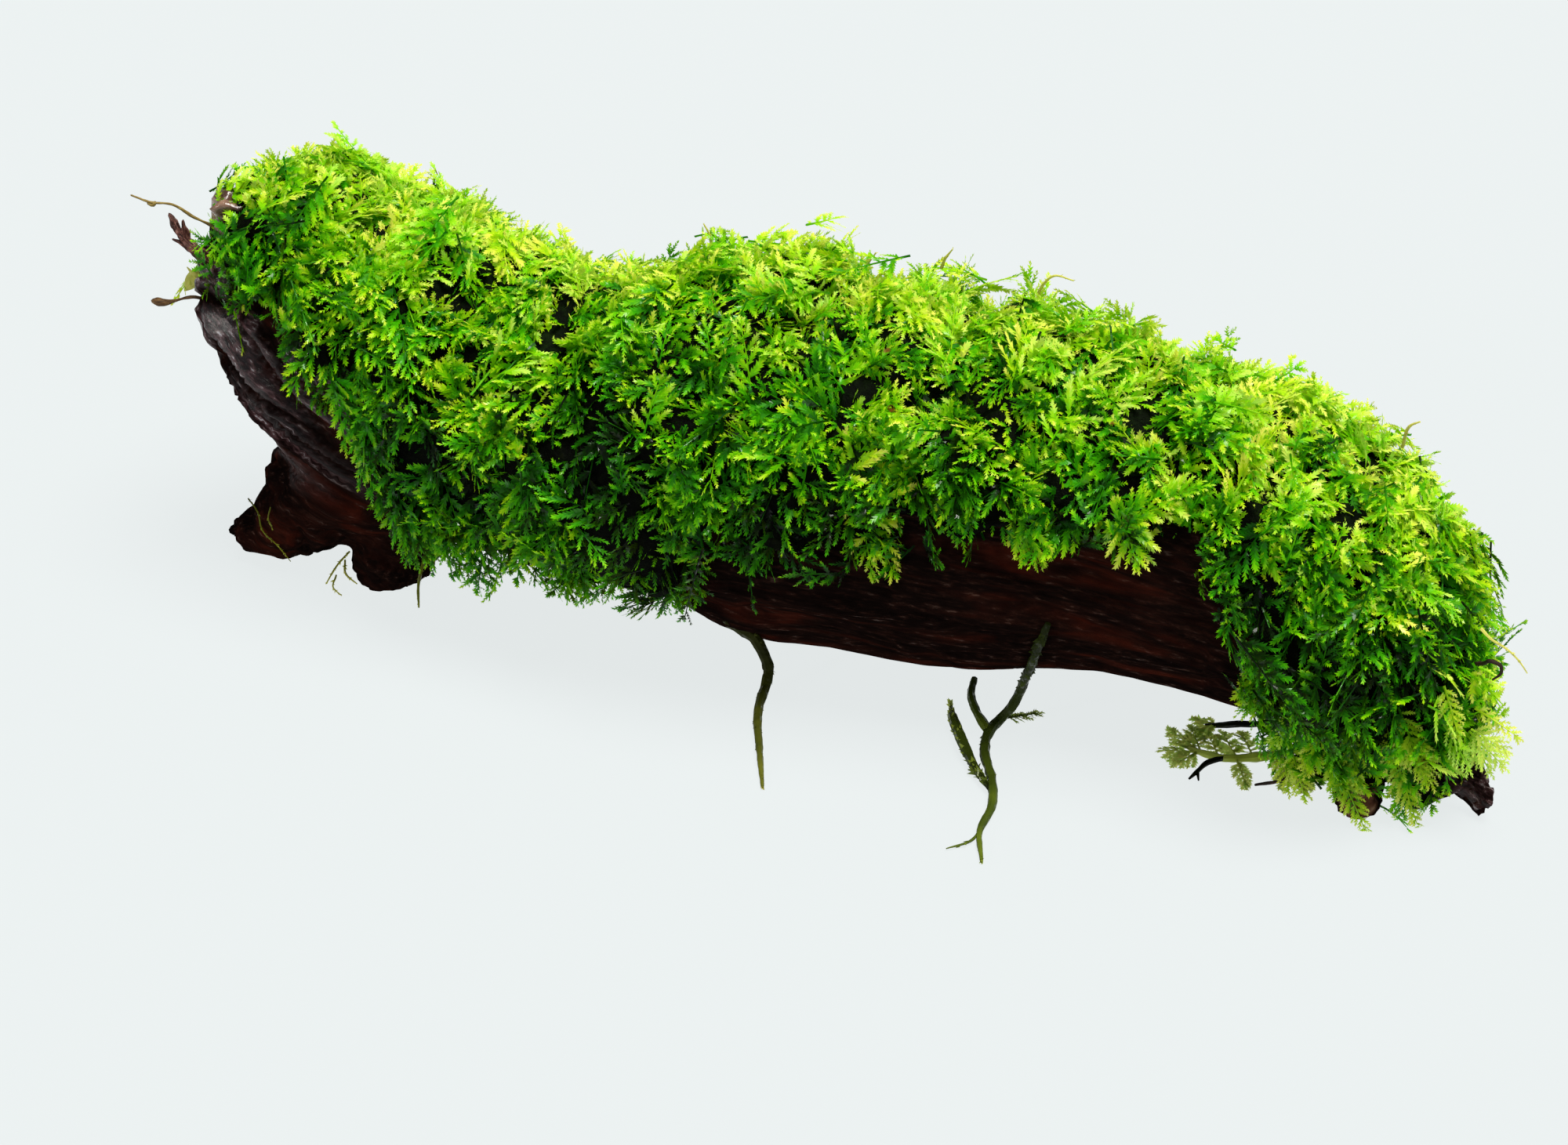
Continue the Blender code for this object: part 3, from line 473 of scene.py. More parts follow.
def makeBarkCurl():
    shape = bmesh.new()
    outline = np.array(barkCurl["outline"]) * mm + centred
    half = np.array([0.0, 0.5 * barkCurl["thickness"], 0.0])
    bend = np.stack([outline[:, 0] * 0.0, barkCurl["curl"] * np.sin(outline[:, 0] / mm * 1.1), outline[:, 0] * 0.0], 1)
    near = [shape.verts.new(spot) for spot in outline + bend - half]
    far = [shape.verts.new(spot) for spot in outline + bend + half]
    shape.faces.new(near)
    shape.faces.new(far[::-1])
    count = len(outline)
    for i in range(count):
        j = (i + 1) % count
        shape.faces.new((near[j], near[i], far[i], far[j]))
    bmesh.ops.triangulate(shape, faces=shape.faces, ngon_method="EAR_CLIP")
    bmesh.ops.recalc_face_normals(shape, faces=shape.faces)
    plain = bpy.data.meshes.new("bark outline")
    shape.to_mesh(plain)
    shape.free()
    mesh = remeshed("bark", [plain], barkCurl["voxel"], 0.0, softened=2)
    points = meshPoints(mesh)
    normals = np.empty(len(points) * 3, dtype=np.float32)
    mesh.vertices.foreach_get("normal", normals)
    rough = noiseAt(points / mm, 0.9) + 0.6 * noiseAt(points / mm, (0.5, 0.5, 2.0), 4.0)
    points += normals.reshape(-1, 3) * (rough * barkCurl["relief"])[:, None]
    points[:, 2] = np.maximum(points[:, 2], 0.05 * mm)
    grain = grainPlace(points)
    grain[:, 0] -= 140.0   # the curl has weathered like the bare left end
    piece = meshPiece("bark_curl", points, quadsOf(mesh), bogwood, growth=grain, smooth=True)
    addRelief(piece, np.clip(0.3 + 0.5 * rough, 0.0, 1.0))
    bpy.data.meshes.remove(mesh)
    bpy.data.meshes.remove(plain)
    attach(piece, "root")
    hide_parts("driftwood_right_root")
    print("bark curl", 2 * len(piece.data.polygons), "triangles")


makeDriftwood()
makeBarkCurl()
woodTree, woodPoints, woodTriangles = treeOf("driftwood_trunk", "driftwood_left_root", "driftwood_right_root")


# ---- leaves, branchlets and fronds

def growLeaves(base, along, side, length, widthShare, rise, fold, curl):
    # each leaf is a small keel-folded blade: base, two flanks and a tip
    face = unit(np.cross(side, along))
    flank = unit(np.cross(along, face))
    reach = length[:, None]
    lift = face * (reach * fold[:, None])
    middle = base + along * reach * 0.42 + face * reach * rise[:, None] + lift
    half = flank * (reach * widthShare[:, None] * 0.5)
    start = base - along * reach * 0.12
    tip = base + along * reach - face * reach * curl[:, None] + face * reach * rise[:, None]
    points = np.stack([start, middle + half, tip, middle - half], axis=1)
    count = len(base)
    corners = np.arange(count * 4).reshape(count, 4)
    faces = np.concatenate([corners[:, [0, 1, 2]], corners[:, [0, 2, 3]]])
    return points, faces


mossHabit = {
    "nodeSpacing": 1.3 * mm,      # between pairs of branchlets on a stem
    "branchletShare": 0.50,       # of the frond's length
    "branchletLongest": 3.1 * mm,
    "branchletShortest": 1.5 * mm,
    "spreadAtFoot": 66.0,         # degrees between branchlet and stem
    "spreadAtTip": 32.0,
    "spreadStray": 5.0,
    "leanOut": 0.08,              # how far branchlets stand out of the frond's plane
    "leanStray": 0.20,
    "leafSpacing": 0.33 * mm,
    "leafLength": 0.80 * mm,
    "leafFootShare": 1.0,         # the width of a leaf's foot, of its length
    "leafTilt": 0.09,             # how much a leaf is turned about its own length
    "leafSpreadAtFoot": 46.0,     # degrees between leaf and branchlet
    "leafSpreadAtTip": 30.0,
    "stemRadius": 0.15 * mm,
}


def growScales(draw, base, axis, top, wing, along, length, last, habit):
    # each leaf is one small blade that overlaps the next; the last one closes the branchlet bluntly
    count = len(base)
    turn = draw.normal(0.0, habit["leafTilt"], (count, 1))
    foot = unit(axis * np.cos(turn) + top * np.sin(turn))
    foot[last] = 0.7 * wing[last]
    foot = foot * (0.5 * habit["leafFootShare"] * length[:, None])
    tip = base + along * length[:, None] - top * (length[:, None] * draw.uniform(0.0, 0.16, (count, 1)))
    points = np.stack([base - foot, tip, base + foot], axis=1)
    return points, np.arange(count * 3).reshape(count, 3)


def growFronds(draw, fronds, habit, fitBranchlets=None):
    # fronds: arrays root, heading, face, length, mark (two numbers that ride along to the material)
    root, heading, face, length = fronds["root"], fronds["heading"], fronds["face"], fronds["length"]
    bow = fronds["bow"]
    count = len(root)
    nodesEach = np.maximum(3, np.round(length / habit["nodeSpacing"]).astype(int))
    owner = np.repeat(np.arange(count), 2 * nodesEach + 1)
    first = np.concatenate(([0], np.cumsum(2 * nodesEach + 1)[:-1]))
    number = np.arange(len(owner)) - first[owner]
    last = number == 2 * nodesEach[owner]
    sideSign = np.where(number % 2 == 0, 1.0, -1.0)
    share = (number // 2 + 0.5 + 0.22 * sideSign) / nodesEach[owner]
    share = 0.06 + 0.94 * np.clip(share, 0.0, 1.0)
    share[last] = 0.99
    share = share[:, None]
    size = length[owner][:, None]
    at = root[owner] + heading[owner] * size * share + bow[owner] * size * share ** 2
    tangent = unit(heading[owner] + 2.0 * bow[owner] * share)
    up = unit(face[owner] - dot(face[owner], tangent) * tangent)
    across = np.cross(tangent, up)
    spread = np.interp(share[:, 0], [0.0, 1.0], [habit["spreadAtFoot"], habit["spreadAtTip"]])
    spread = np.radians(spread + draw.normal(0.0, habit["spreadStray"], len(owner)))
    spread[last] = 0.0
    lean = draw.normal(habit["leanOut"], habit["leanStray"], len(owner))
    direction = unit(tangent * np.cos(spread)[:, None] + across * (np.sin(spread) * sideSign)[:, None]
                     + up * lean[:, None])
    longest = np.minimum(habit["branchletLongest"], habit["branchletShare"] * length)[owner]
    taper = np.interp(share[:, 0], [0.0, 0.12, 0.38, 0.72, 1.0], [0.45, 0.85, 1.0, 0.68, 0.34])
    reach = np.maximum(longest * taper * draw.uniform(0.78, 1.15, len(owner)), habit["branchletShortest"])
    curl = (-up * draw.uniform(-0.04, 0.24, (len(owner), 1)) + tangent * draw.uniform(0.06, 0.42, (len(owner), 1))
            + down * draw.uniform(0.0, 0.12, (len(owner), 1)))
    roll = draw.normal(0.0, 0.35, (len(owner), 1))
    faceUp = unit(up + np.cross(direction, up) * roll)
    faceUp = unit(faceUp - dot(faceUp, direction) * direction)
    outer = np.ones(len(owner))
    if fitBranchlets:
        reach, outer, keep = fitBranchlets(at, direction, curl, reach, (size * (1.0 - share))[:, 0])
        at, direction, curl, reach, faceUp = at[keep], direction[keep], curl[keep], reach[keep], faceUp[keep]
        owner, share, outer = owner[keep], share[keep], outer[keep]

    pairs = np.clip(np.round(reach / habit["leafSpacing"]).astype(int), 3, 13)
    leafOwner = np.repeat(np.arange(len(reach)), 2 * pairs + 1)
    firstLeaf = np.concatenate(([0], np.cumsum(2 * pairs + 1)[:-1]))
    leafNumber = np.arange(len(leafOwner)) - firstLeaf[leafOwner]
    endLeaf = leafNumber == 2 * pairs[leafOwner]
    leafSide = np.where(leafNumber % 2 == 0, 1.0, -1.0)
    place = (leafNumber // 2 + 0.5 + 0.24 * leafSide) / pairs[leafOwner]
    place[endLeaf] = 0.96
    place = place[:, None]
    own = reach[leafOwner][:, None]
    axis = unit(direction[leafOwner] + 2.0 * curl[leafOwner] * place)
    base = at[leafOwner] + (direction[leafOwner] * place + curl[leafOwner] * place ** 2) * own
    top = unit(faceUp[leafOwner] - dot(faceUp[leafOwner], axis) * axis)
    wing = np.cross(axis, top)
    leafSpread = np.interp(place[:, 0], [0.0, 1.0], [habit["leafSpreadAtFoot"], habit["leafSpreadAtTip"]])
    leafSpread = np.radians(leafSpread + draw.normal(0.0, 4.0, len(place)))
    leafSpread[endLeaf] = 0.0
    leafAlong = unit(axis * np.cos(leafSpread)[:, None] + wing * (np.sin(leafSpread) * leafSide)[:, None]
                     + top * draw.normal(0.08, 0.07, (len(place), 1)))
    leafLength = habit["leafLength"] * np.interp(place[:, 0], [0.0, 0.25, 0.7, 1.0], [0.6, 1.0, 0.95, 0.68])
    leafLength = leafLength * np.clip(own[:, 0] / (2.4 * mm), 0.66, 1.1) * draw.uniform(0.82, 1.15, len(place))
    total = len(place)
    points, faces = growScales(draw, base, axis, top, wing, leafAlong, leafLength, endLeaf, habit)
    marks = np.empty((total, 3, 3))
    # painted light: each frond's light number makes its colour paler where lit and darker in shade; the darker colour
    # of inner branchlets is partly painted shade, lifted where the frond is lit
    paintedLight = np.clip(fronds["mark"][owner, 1], 0.0, 1.0)
    outer = outer + (1.0 - outer) * 0.45 * paintedLight
    tipness = outer[leafOwner] * (0.40 + 0.38 * place[:, 0] ** 1.6) + draw.normal(0.0, 0.035, total)
    marks[:, :, 0] = tipness[:, None] + np.array([-0.02, 0.03, -0.02])
    marks[:, :, 1] = (fronds["mark"][owner][leafOwner, 0] + draw.normal(0.0, 0.16, total))[:, None]
    marks[:, :, 2] = fronds["mark"][owner][leafOwner, 1][:, None]
    leafPoints = points.reshape(-1, 3)
    leafMarks = marks.reshape(-1, 3)

    # the stems: thin three-sided tubes
    rings = 5
    steps = np.linspace(0.0, 0.97, rings)[None, :, None]
    centre = root[:, None] + heading[:, None] * length[:, None, None] * steps
    centre = centre + bow[:, None] * length[:, None, None] * steps ** 2
    line = unit(heading[:, None] + 2.0 * bow[:, None] * steps)
    one = unit(face[:, None] - dot(face[:, None], line) * line)
    two = np.cross(line, one)
    turns = np.radians([90.0, 210.0, 330.0])
    thick = habit["stemRadius"] * (1.0 - 0.6 * steps)
    tube = np.stack([centre + (one * math.sin(t) + two * math.cos(t)) * thick for t in turns], axis=2)
    stemPoints = tube.reshape(-1, 3)
    ringStart = (np.arange(count)[:, None] * rings + np.arange(rings - 1)[None]).ravel() * 3
    quads = np.concatenate([
        np.stack([ringStart + i, ringStart + (i + 1) % 3, ringStart + 3 + (i + 1) % 3, ringStart + 3 + i], axis=1)
        for i in range(3)])
    stemFaces = np.concatenate([quads[:, [0, 1, 2]], quads[:, [0, 2, 3]]]) + len(leafPoints)
    stemMarks = np.empty((count, rings, 3, 3))
    stemMarks[..., 0] = (0.26 + 0.3 * steps[..., 0])[..., None]
    stemMarks[..., 1] = fronds["mark"][:, 0][:, None, None]
    stemMarks[..., 2] = fronds["mark"][:, 1][:, None, None]
    return (np.concatenate([leafPoints, stemPoints]), np.concatenate([faces, stemFaces]),
            np.concatenate([leafMarks, stemMarks.reshape(-1, 3)]))


# ---- the moss

mossMat = {
    "spacing": 1.58 * mm,       # between the tips of neighbouring fronds
    "longest": 12.0 * mm,
    "shortest": 4.5 * mm,
    "outward": 0.62,            # how much a frond follows the surface's outward direction
    "hang": 0.42,               # and how much it hangs
    "stray": 0.66,
    "clumpSize": 7.0,           # millimetres across one cushion of fronds
    "clumpDepth": 0.34,
    "thinBelow": 0.45,          # share of the fronds that is missing in the deepest shade
    "visibleDepth": 1.9 * mm,   # leaves deeper than this, and further than this from their frond's tip,
    "visibleTip": 3.2 * mm,     # are lost in the felt of old stems
    "lightFrom": (0.34, 0.40, 0.86),   # painted light: the direction the moss's colours are painted lit from, palest on that side
    "pieces": 6,
    "feltDepth": 2.7 * mm,
    "feltVoxel": 1.3 * mm,
    "feltLumps": 0.6 * mm,
    # where bare bark shows: x, y, z and radius in millimetres
    "bareSpots": [(-66.9, 4.2, 44.2, 3.4), (77.0, -2.6, 3.0, 4.4), (65.9, -7.0, 2.3, 3.0),
                  (5.2, -8.6, 24.0, 2.6), (18.6, -8.4, 27.6, 2.4), (36.0, -8.6, 29.0, 2.0)],
}

# fronds that hang or stand singly at the edge, in millimetres: root, tip, and how much painted light makes their green
# paler
edgeFronds = [
    ((-42.2, -7.6, 19.0), (-39.8, -8.5, 11.0), 0.34), ((-40.0, -7.8, 20.0), (-36.8, -8.8, 11.6), 0.30),
    ((-33.9, -7.6, 17.0), (-32.3, -8.0, 9.0), 0.36), ((-37.4, -8.0, 17.0), (-35.4, -8.0, 9.4), 0.32),
    ((-22.4, -7.6, 18.0), (-20.6, -8.6, 11.6), 0.44), ((-11.5, -8.0, 19.0), (-10.2, -8.6, 11.6), 0.20),
    ((-48.8, -7.6, 30.0), (-47.0, -8.4, 24.0), 0.62), ((-45.0, -8.0, 27.0), (-45.6, -8.6, 19.0), 0.60),
    ((11.3, -8.6, 30.0), (14.0, -9.6, 21.4), 0.86), ((21.5, -8.0, 32.0), (22.4, -8.6, 27.6), 0.6),
    ((28.6, -7.8, 31.0), (31.0, -8.4, 25.8), 0.66), ((39.3, -7.4, 32.0), (41.2, -8.4, 27.8), 0.9),
    ((55.6, -7.0, 17.0), (54.2, -8.2, 13.0), 0.6), ((59.0, -6.5, 11.0), (56.6, -4.0, 4.6), 0.55),
    ((64.0, -6.4, 9.0), (65.6, -6.2, 2.4), 0.6), ((70.0, -5.6, 9.0), (71.0, -5.4, 2.0), 0.66),
    ((76.4, -3.6, 18.6), (79.6, -4.0, 16.4), 0.95), ((-70.0, 3.2, 35.4), (-73.2, 2.8, 31.0), 1.15),
    ((-67.4, 1.6, 33.6), (-66.9, 0.8, 29.2), 0.95), ((-64.4, -0.6, 33.8), (-62.4, -2.6, 29.6), 0.85),
    ((-34.0, 21.0, 17.0), (-35.0, 22.0, 6.0), 0.5), ((-14.0, 20.0, 18.0), (-13.0, 22.0, 8.0), 0.5),
    ((30.0, 21.0, 18.0), (32.0, 22.0, 7.0), 0.5), ((50.0, 19.0, 14.0), (50.0, 20.5, 2.0), 0.5),
    ((63.0, 16.0, 12.0), (64.0, 18.0, 1.2), 0.5),
]

mossTree, mossPoints, mossTriangles = treeOf("moss_mat")


def surfaceSamples(draw, spacing):
    # evenly spread points on the outer skin of the moss, each with its outward direction
    bare = np.array(mossMat["bareSpots"]) * mm
    bare[:, :3] += centred
    corners = mossPoints[mossTriangles]
    area = np.cross(corners[:, 1] - corners[:, 0], corners[:, 2] - corners[:, 0])
    size = np.linalg.norm(area, axis=1) / 2
    normals = unit(area)
    wanted = int(size.sum() / spacing ** 2 * 7)
    pick = draw.choice(len(corners), wanted, p=size / size.sum())
    u, v = draw.random(wanted), draw.random(wanted)
    flip = u + v > 1.0
    u[flip], v[flip] = 1.0 - u[flip], 1.0 - v[flip]
    spots = corners[pick, 0] + u[:, None] * (corners[pick, 1] - corners[pick, 0])
    spots = spots + v[:, None] * (corners[pick, 2] - corners[pick, 0])
    chosen, grid = [], {}
    for i, spot in enumerate(spots):
        x, _, z = (spot - centred) / mm
        if x > 53.0 and z < 6.5 and u[i] < 0.84:   # the skirt is thin at its foot
            continue
        if spot[2] < 0.4 * mm or (np.linalg.norm(spot - bare[:, :3], axis=1) < bare[:, 3]).any():
            continue
        near = woodTree.find_nearest(Vector(spot))
        if near[3] < 1.3 * mm and (near[0] - Vector(spot)).dot(Vector(normals[pick[i]])) > 0.0:
            continue
        cell = tuple(np.floor(spot / spacing).astype(int))
        clear = True
        for dx in (-1, 0, 1):
            for dy in (-1, 0, 1):
                for dz in (-1, 0, 1):
                    for other in grid.get((cell[0] + dx, cell[1] + dy, cell[2] + dz), ()):
                        if np.dot(spots[other] - spot, spots[other] - spot) < spacing ** 2:
                            clear = False
        if clear:
            grid.setdefault(cell, []).append(i)
            chosen.append(i)
    return spots[chosen], normals[pick[chosen]]


def mossFronds(draw):
    spots, normals = surfaceSamples(draw, mossMat["spacing"])
    radial = []
    for spot in spots:
        near = woodTree.find_nearest(Vector(spot))
        radial.append(Vector(spot) - near[0])
    radial = unit(np.array(radial))
    outward = unit(0.45 * normals + 0.8 * radial)
    clump = noiseAt(spots / mm, mossMat["clumpSize"], 3.0)
    fine = noiseAt(spots / mm, mossMat["clumpSize"] * 0.45, 8.0)
    hang = down - dot(down[None], outward) * outward
    stray = draw.normal(0.0, 1.0, spots.shape)
    stray = stray - dot(stray, outward) * outward
    heading = unit(mossMat["outward"] * outward + mossMat["hang"] * hang + mossMat["stray"] * stray)
    depth = np.empty(len(spots))
    for i, spot in enumerate(spots):
        hit = woodTree.ray_cast(Vector(spot), Vector(-heading[i]), 0.05)
        through = mossTree.ray_cast(Vector(spot - normals[i] * 0.3 * mm), Vector(-heading[i]), 0.05)
        depth[i] = min(hit[3] if hit[0] else 0.05, through[3] if through[0] else 0.05)
    length = np.clip(depth * 1.05, mossMat["shortest"], mossMat["longest"])
    reach = 1.0 + mossMat["clumpDepth"] * np.clip(clump * 1.3 - 0.25, -1.0, 0.35) + 0.10 * fine
    root = spots - heading * length[:, None]
    length = length * reach
    turned = outward - dot(outward, heading) * heading
    spin = draw.normal(0.0, 0.55, (len(spots), 1))
    face = unit(unit(turned) + np.cross(heading, unit(turned)) * spin)
    bow = down * draw.uniform(0.02, 0.20, (len(spots), 1)) + draw.normal(0.0, 0.09, spots.shape)
    # painted light and shade: a frond's colour is paler the more its surface faces lightFrom, and darker where it faces
    # away
    towards = unit(np.array(mossMat["lightFrom"]))
    place = (spots - centred) / mm
    skirt = np.clip((place[:, 0] - 50.0) / 8.0, 0.0, 1.0) * np.clip((15.0 - place[:, 2]) / 8.0, 0.0, 1.0)
    facing = outward @ towards
    # painted shade: the front of the right half is coloured darker, as if in the shade of its own crown
    paintedOverhangShade = np.clip((place[:, 0] - 5.0) / 15.0, 0.0, 1.0) * np.clip((0.65 - facing) / 0.4, 0.0, 1.0)
    # painted light: the skirt at the right foot is painted paler still
    paintedLight = np.clip(0.22 + 0.95 * facing + 0.26 * clump - 0.13 * paintedOverhangShade, 0.08, 1.10) + 0.42 * skirt
    # underneath the fronds stand thinner, and for a few of them the painted shade is lifted so that they are as pale as
    # those above
    shade = np.clip(0.35 - facing, 0.0, 0.6) / 0.6 * (1.0 - skirt)
    paintedLight += 0.50 * shade * draw.random(len(spots)) ** 2.0
    ends = root + (heading + bow) * length[:, None]
    inside = (ends > np.array(cadBox[0]) - 1.0 * mm).all(axis=1) & (ends < np.array(cadBox[1]) + 1.0 * mm).all(axis=1)
    kept = inside & (draw.random(len(spots)) > mossMat["thinBelow"] * shade)
    mark = np.stack([draw.random(len(spots)), paintedLight], axis=1)
    fronds = {"root": root, "heading": heading, "face": face, "length": length, "bow": bow, "mark": mark}
    fronds = {name: values[kept] for name, values in fronds.items()}
    single = edgeSet(draw)
    return {name: np.concatenate([values, single[name]]) for name, values in fronds.items()}


def edgeSet(draw):
    # two fronds for each place: one flat to the viewer and one a little turned
    rows = {"root": [], "heading": [], "face": [], "length": [], "bow": [], "mark": []}
    for foot, tip, paintedLight in edgeFronds:
        foot = np.array(foot) * mm + centred
        tip = np.array(tip) * mm + centred
        away = foot - np.array(woodTree.find_nearest(Vector(foot))[0])
        for turn in (-0.25, 0.3):
            heading = unit(tip - foot + draw.normal(0.0, 0.4 * mm, 3))
            across = unit(np.cross(heading, away))
            rows["root"].append(foot - heading * 1.5 * mm + across * turn * mm)
            rows["heading"].append(heading)
            rows["face"].append(unit(unit(away) + across * turn))
            rows["length"].append(np.linalg.norm(tip - foot) + 1.6 * mm)
            rows["bow"].append(down * 0.05 + across * turn * 0.2)
            rows["mark"].append((draw.random(), paintedLight))
    return {name: np.array(values) for name, values in rows.items()}


def fitToMat(at, direction, curl, reach, fromTip):
    # shortens branchlets that would stand out of the moss's form, drops those inside the wood,
    # and tells how near the outside each one is
    tips = at + (direction + curl) * reach[:, None]
    outer = np.empty(len(at))
    low = np.array(cadBox[0]) - 0.8 * mm
    high = np.array(cadBox[1]) + 0.8 * mm
    keep = (tips > low).all(axis=1) & (tips < high).all(axis=1)
    for i in np.flatnonzero(keep):
        place, normal, _, away = mossTree.find_nearest(Vector(tips[i]))
        outside = (Vector(tips[i]) - place).dot(normal) > 0.0
        if outside and away > 1.1 * mm:
            reach[i] *= max(0.35, 1.0 - (away - 1.1 * mm) / reach[i])
        outer[i] = 1.0 if outside else max(0.0, 1.0 - away / (4.2 * mm))
        if not outside and away > mossMat["visibleDepth"] and fromTip[i] > mossMat["visibleTip"]:
            keep[i] = False
            continue
        for spot in (at[i], tips[i]):
            near, normal, _, _ = woodTree.find_nearest(Vector(spot))
            if (Vector(spot) - near).dot(normal) < -0.2 * mm:
                keep[i] = False
    return reach, outer, keep


def mossLeaf(name, stops, deep, light, glow):
    # Living moss leaf: one cell thick and wet, so light comes through it. Young tips are pale yellow-green,
    # older leaves deep green, and the oldest, inside the cushion, dark olive brown; that darkening inside the
    # cushion is partly painted shade. The third growth number paints light and shade into the green.
    material, tree = newMaterial(name)
    growth = addNode(tree, "ShaderNodeAttribute", attribute_name="growth").outputs["Vector"]
    parts = addNode(tree, "ShaderNodeSeparateXYZ", {"Vector": growth})
    place = addNode(tree, "ShaderNodeTexCoord").outputs["Object"]
    mottle = addNode(tree, "ShaderNodeTexNoise", {"Vector": place, "Scale": 260.0, "Detail": 3.0})
    spread = addNode(tree, "ShaderNodeMath", {0: mottle.outputs["Fac"], 1: -0.5}, operation="ADD")
    age = addNode(tree, "ShaderNodeMath", {0: spread.outputs[0], 1: 0.34, 2: parts.outputs["X"]},
                  operation="MULTIPLY_ADD")
    # painted light: the third growth number makes a leaf paler on the lit side and darker in the shade
    paintedLight = addNode(tree, "ShaderNodeMath", {0: parts.outputs["Z"], 1: -0.5}, operation="ADD")
    aged = addNode(tree, "ShaderNodeMath", {0: paintedLight.outputs[0], 1: 0.58, 2: age.outputs[0]},
                   operation="MULTIPLY_ADD")
    green = addNode(tree, "ShaderNodeValToRGB", {"Fac": aged.outputs[0]}, stops=stops)
    warm = addNode(tree, "ShaderNodeMix", {
        0: parts.outputs["Y"], 6: hexColor(deep), 7: hexColor(light)}, data_type="RGBA")
    tinted = addNode(tree, "ShaderNodeMix", {
        0: 1.0, 6: green.outputs["Color"], 7: warm.outputs[2]}, data_type="RGBA", blend_type="MULTIPLY")
    # a few leaves have died and gone brown
    spots = addNode(tree, "ShaderNodeTexNoise", {"Vector": place, "Scale": 330.0, "Detail": 1.0})
    dead = addNode(tree, "ShaderNodeMapRange", {
        "Value": spots.outputs["Fac"], "From Min": 0.76, "From Max": 0.79, "To Min": 0.0, "To Max": 1.0})
    specked = addNode(tree, "ShaderNodeMix", {
        0: dead.outputs["Result"], 6: tinted.outputs[2], 7: hexColor("#7A4218")}, data_type="RGBA")
    drops = addNode(tree, "ShaderNodeTexNoise", {"Vector": place, "Scale": 1100.0, "Detail": 1.0})
    film = addNode(tree, "ShaderNodeMapRange", {
        "Value": drops.outputs["Fac"], "From Min": 0.56, "From Max": 0.62, "To Min": 0.0, "To Max": 1.0})
    leaf = addNode(tree, "ShaderNodeBsdfPrincipled", {
        "Base Color": specked.outputs[2], "Roughness": 0.42, "IOR": 1.38, "Specular IOR Level": 0.14,
        "Coat Weight": film.outputs["Result"], "Coat Roughness": 0.10, "Coat IOR": 1.33})
    shone = addNode(tree, "ShaderNodeMix", {
        0: 0.35, 6: tinted.outputs[2], 7: hexColor(glow)}, data_type="RGBA")  # light through it turns yellower
    inside = addNode(tree, "ShaderNodeMix", {
        0: parts.outputs["X"], 6: tinted.outputs[2], 7: shone.outputs[2]}, data_type="RGBA")
    through = addNode(tree, "ShaderNodeBsdfTranslucent", {"Color": inside.outputs[2]})
    both = addNode(tree, "ShaderNodeMixShader", {0: 0.42, 1: leaf.outputs["BSDF"], 2: through.outputs["BSDF"]})
    addNode(tree, "ShaderNodeOutputMaterial", {"Surface": both.outputs["Shader"]})
    return material


mossGreens = [
    (0.04, "#030501"), (0.20, "#0C2602"), (0.38, "#1E6C03"), (0.54, "#4CB006"), (0.68, "#94DA0E"), (0.82, "#D0F22C"),
    (0.98, "#FAFF98")]


def joinedTo(mesh, count):
    # the two ends of every edge, and which points hang together in the largest piece
    ends = np.empty(len(mesh.edges) * 2, dtype=np.int32)
    mesh.edges.foreach_get("vertices", ends)
    ends = ends.reshape(-1, 2)
    label = np.arange(count)
    while True:
        lowest = np.minimum(label[ends[:, 0]], label[ends[:, 1]])
        after = label.copy()
        np.minimum.at(after, ends[:, 0], lowest)
        np.minimum.at(after, ends[:, 1], lowest)
        after = after[after]
        if (after == label).all():
            break
        label = after
    names, sizes = np.unique(label, return_counts=True)
    return ends, label == names[sizes.argmax()]


def evened(values, ends, times):
    # each point's value averaged with its neighbours', so that nothing spikes
    number = np.bincount(ends.ravel(), minlength=len(values)) + 1.0
    for _ in range(times):
        total = values.copy()
        np.add.at(total, ends[:, 0], values[ends[:, 1]])
        np.add.at(total, ends[:, 1], values[ends[:, 0]])
        values = total / (number if values.ndim == 1 else number[:, None])
    return values


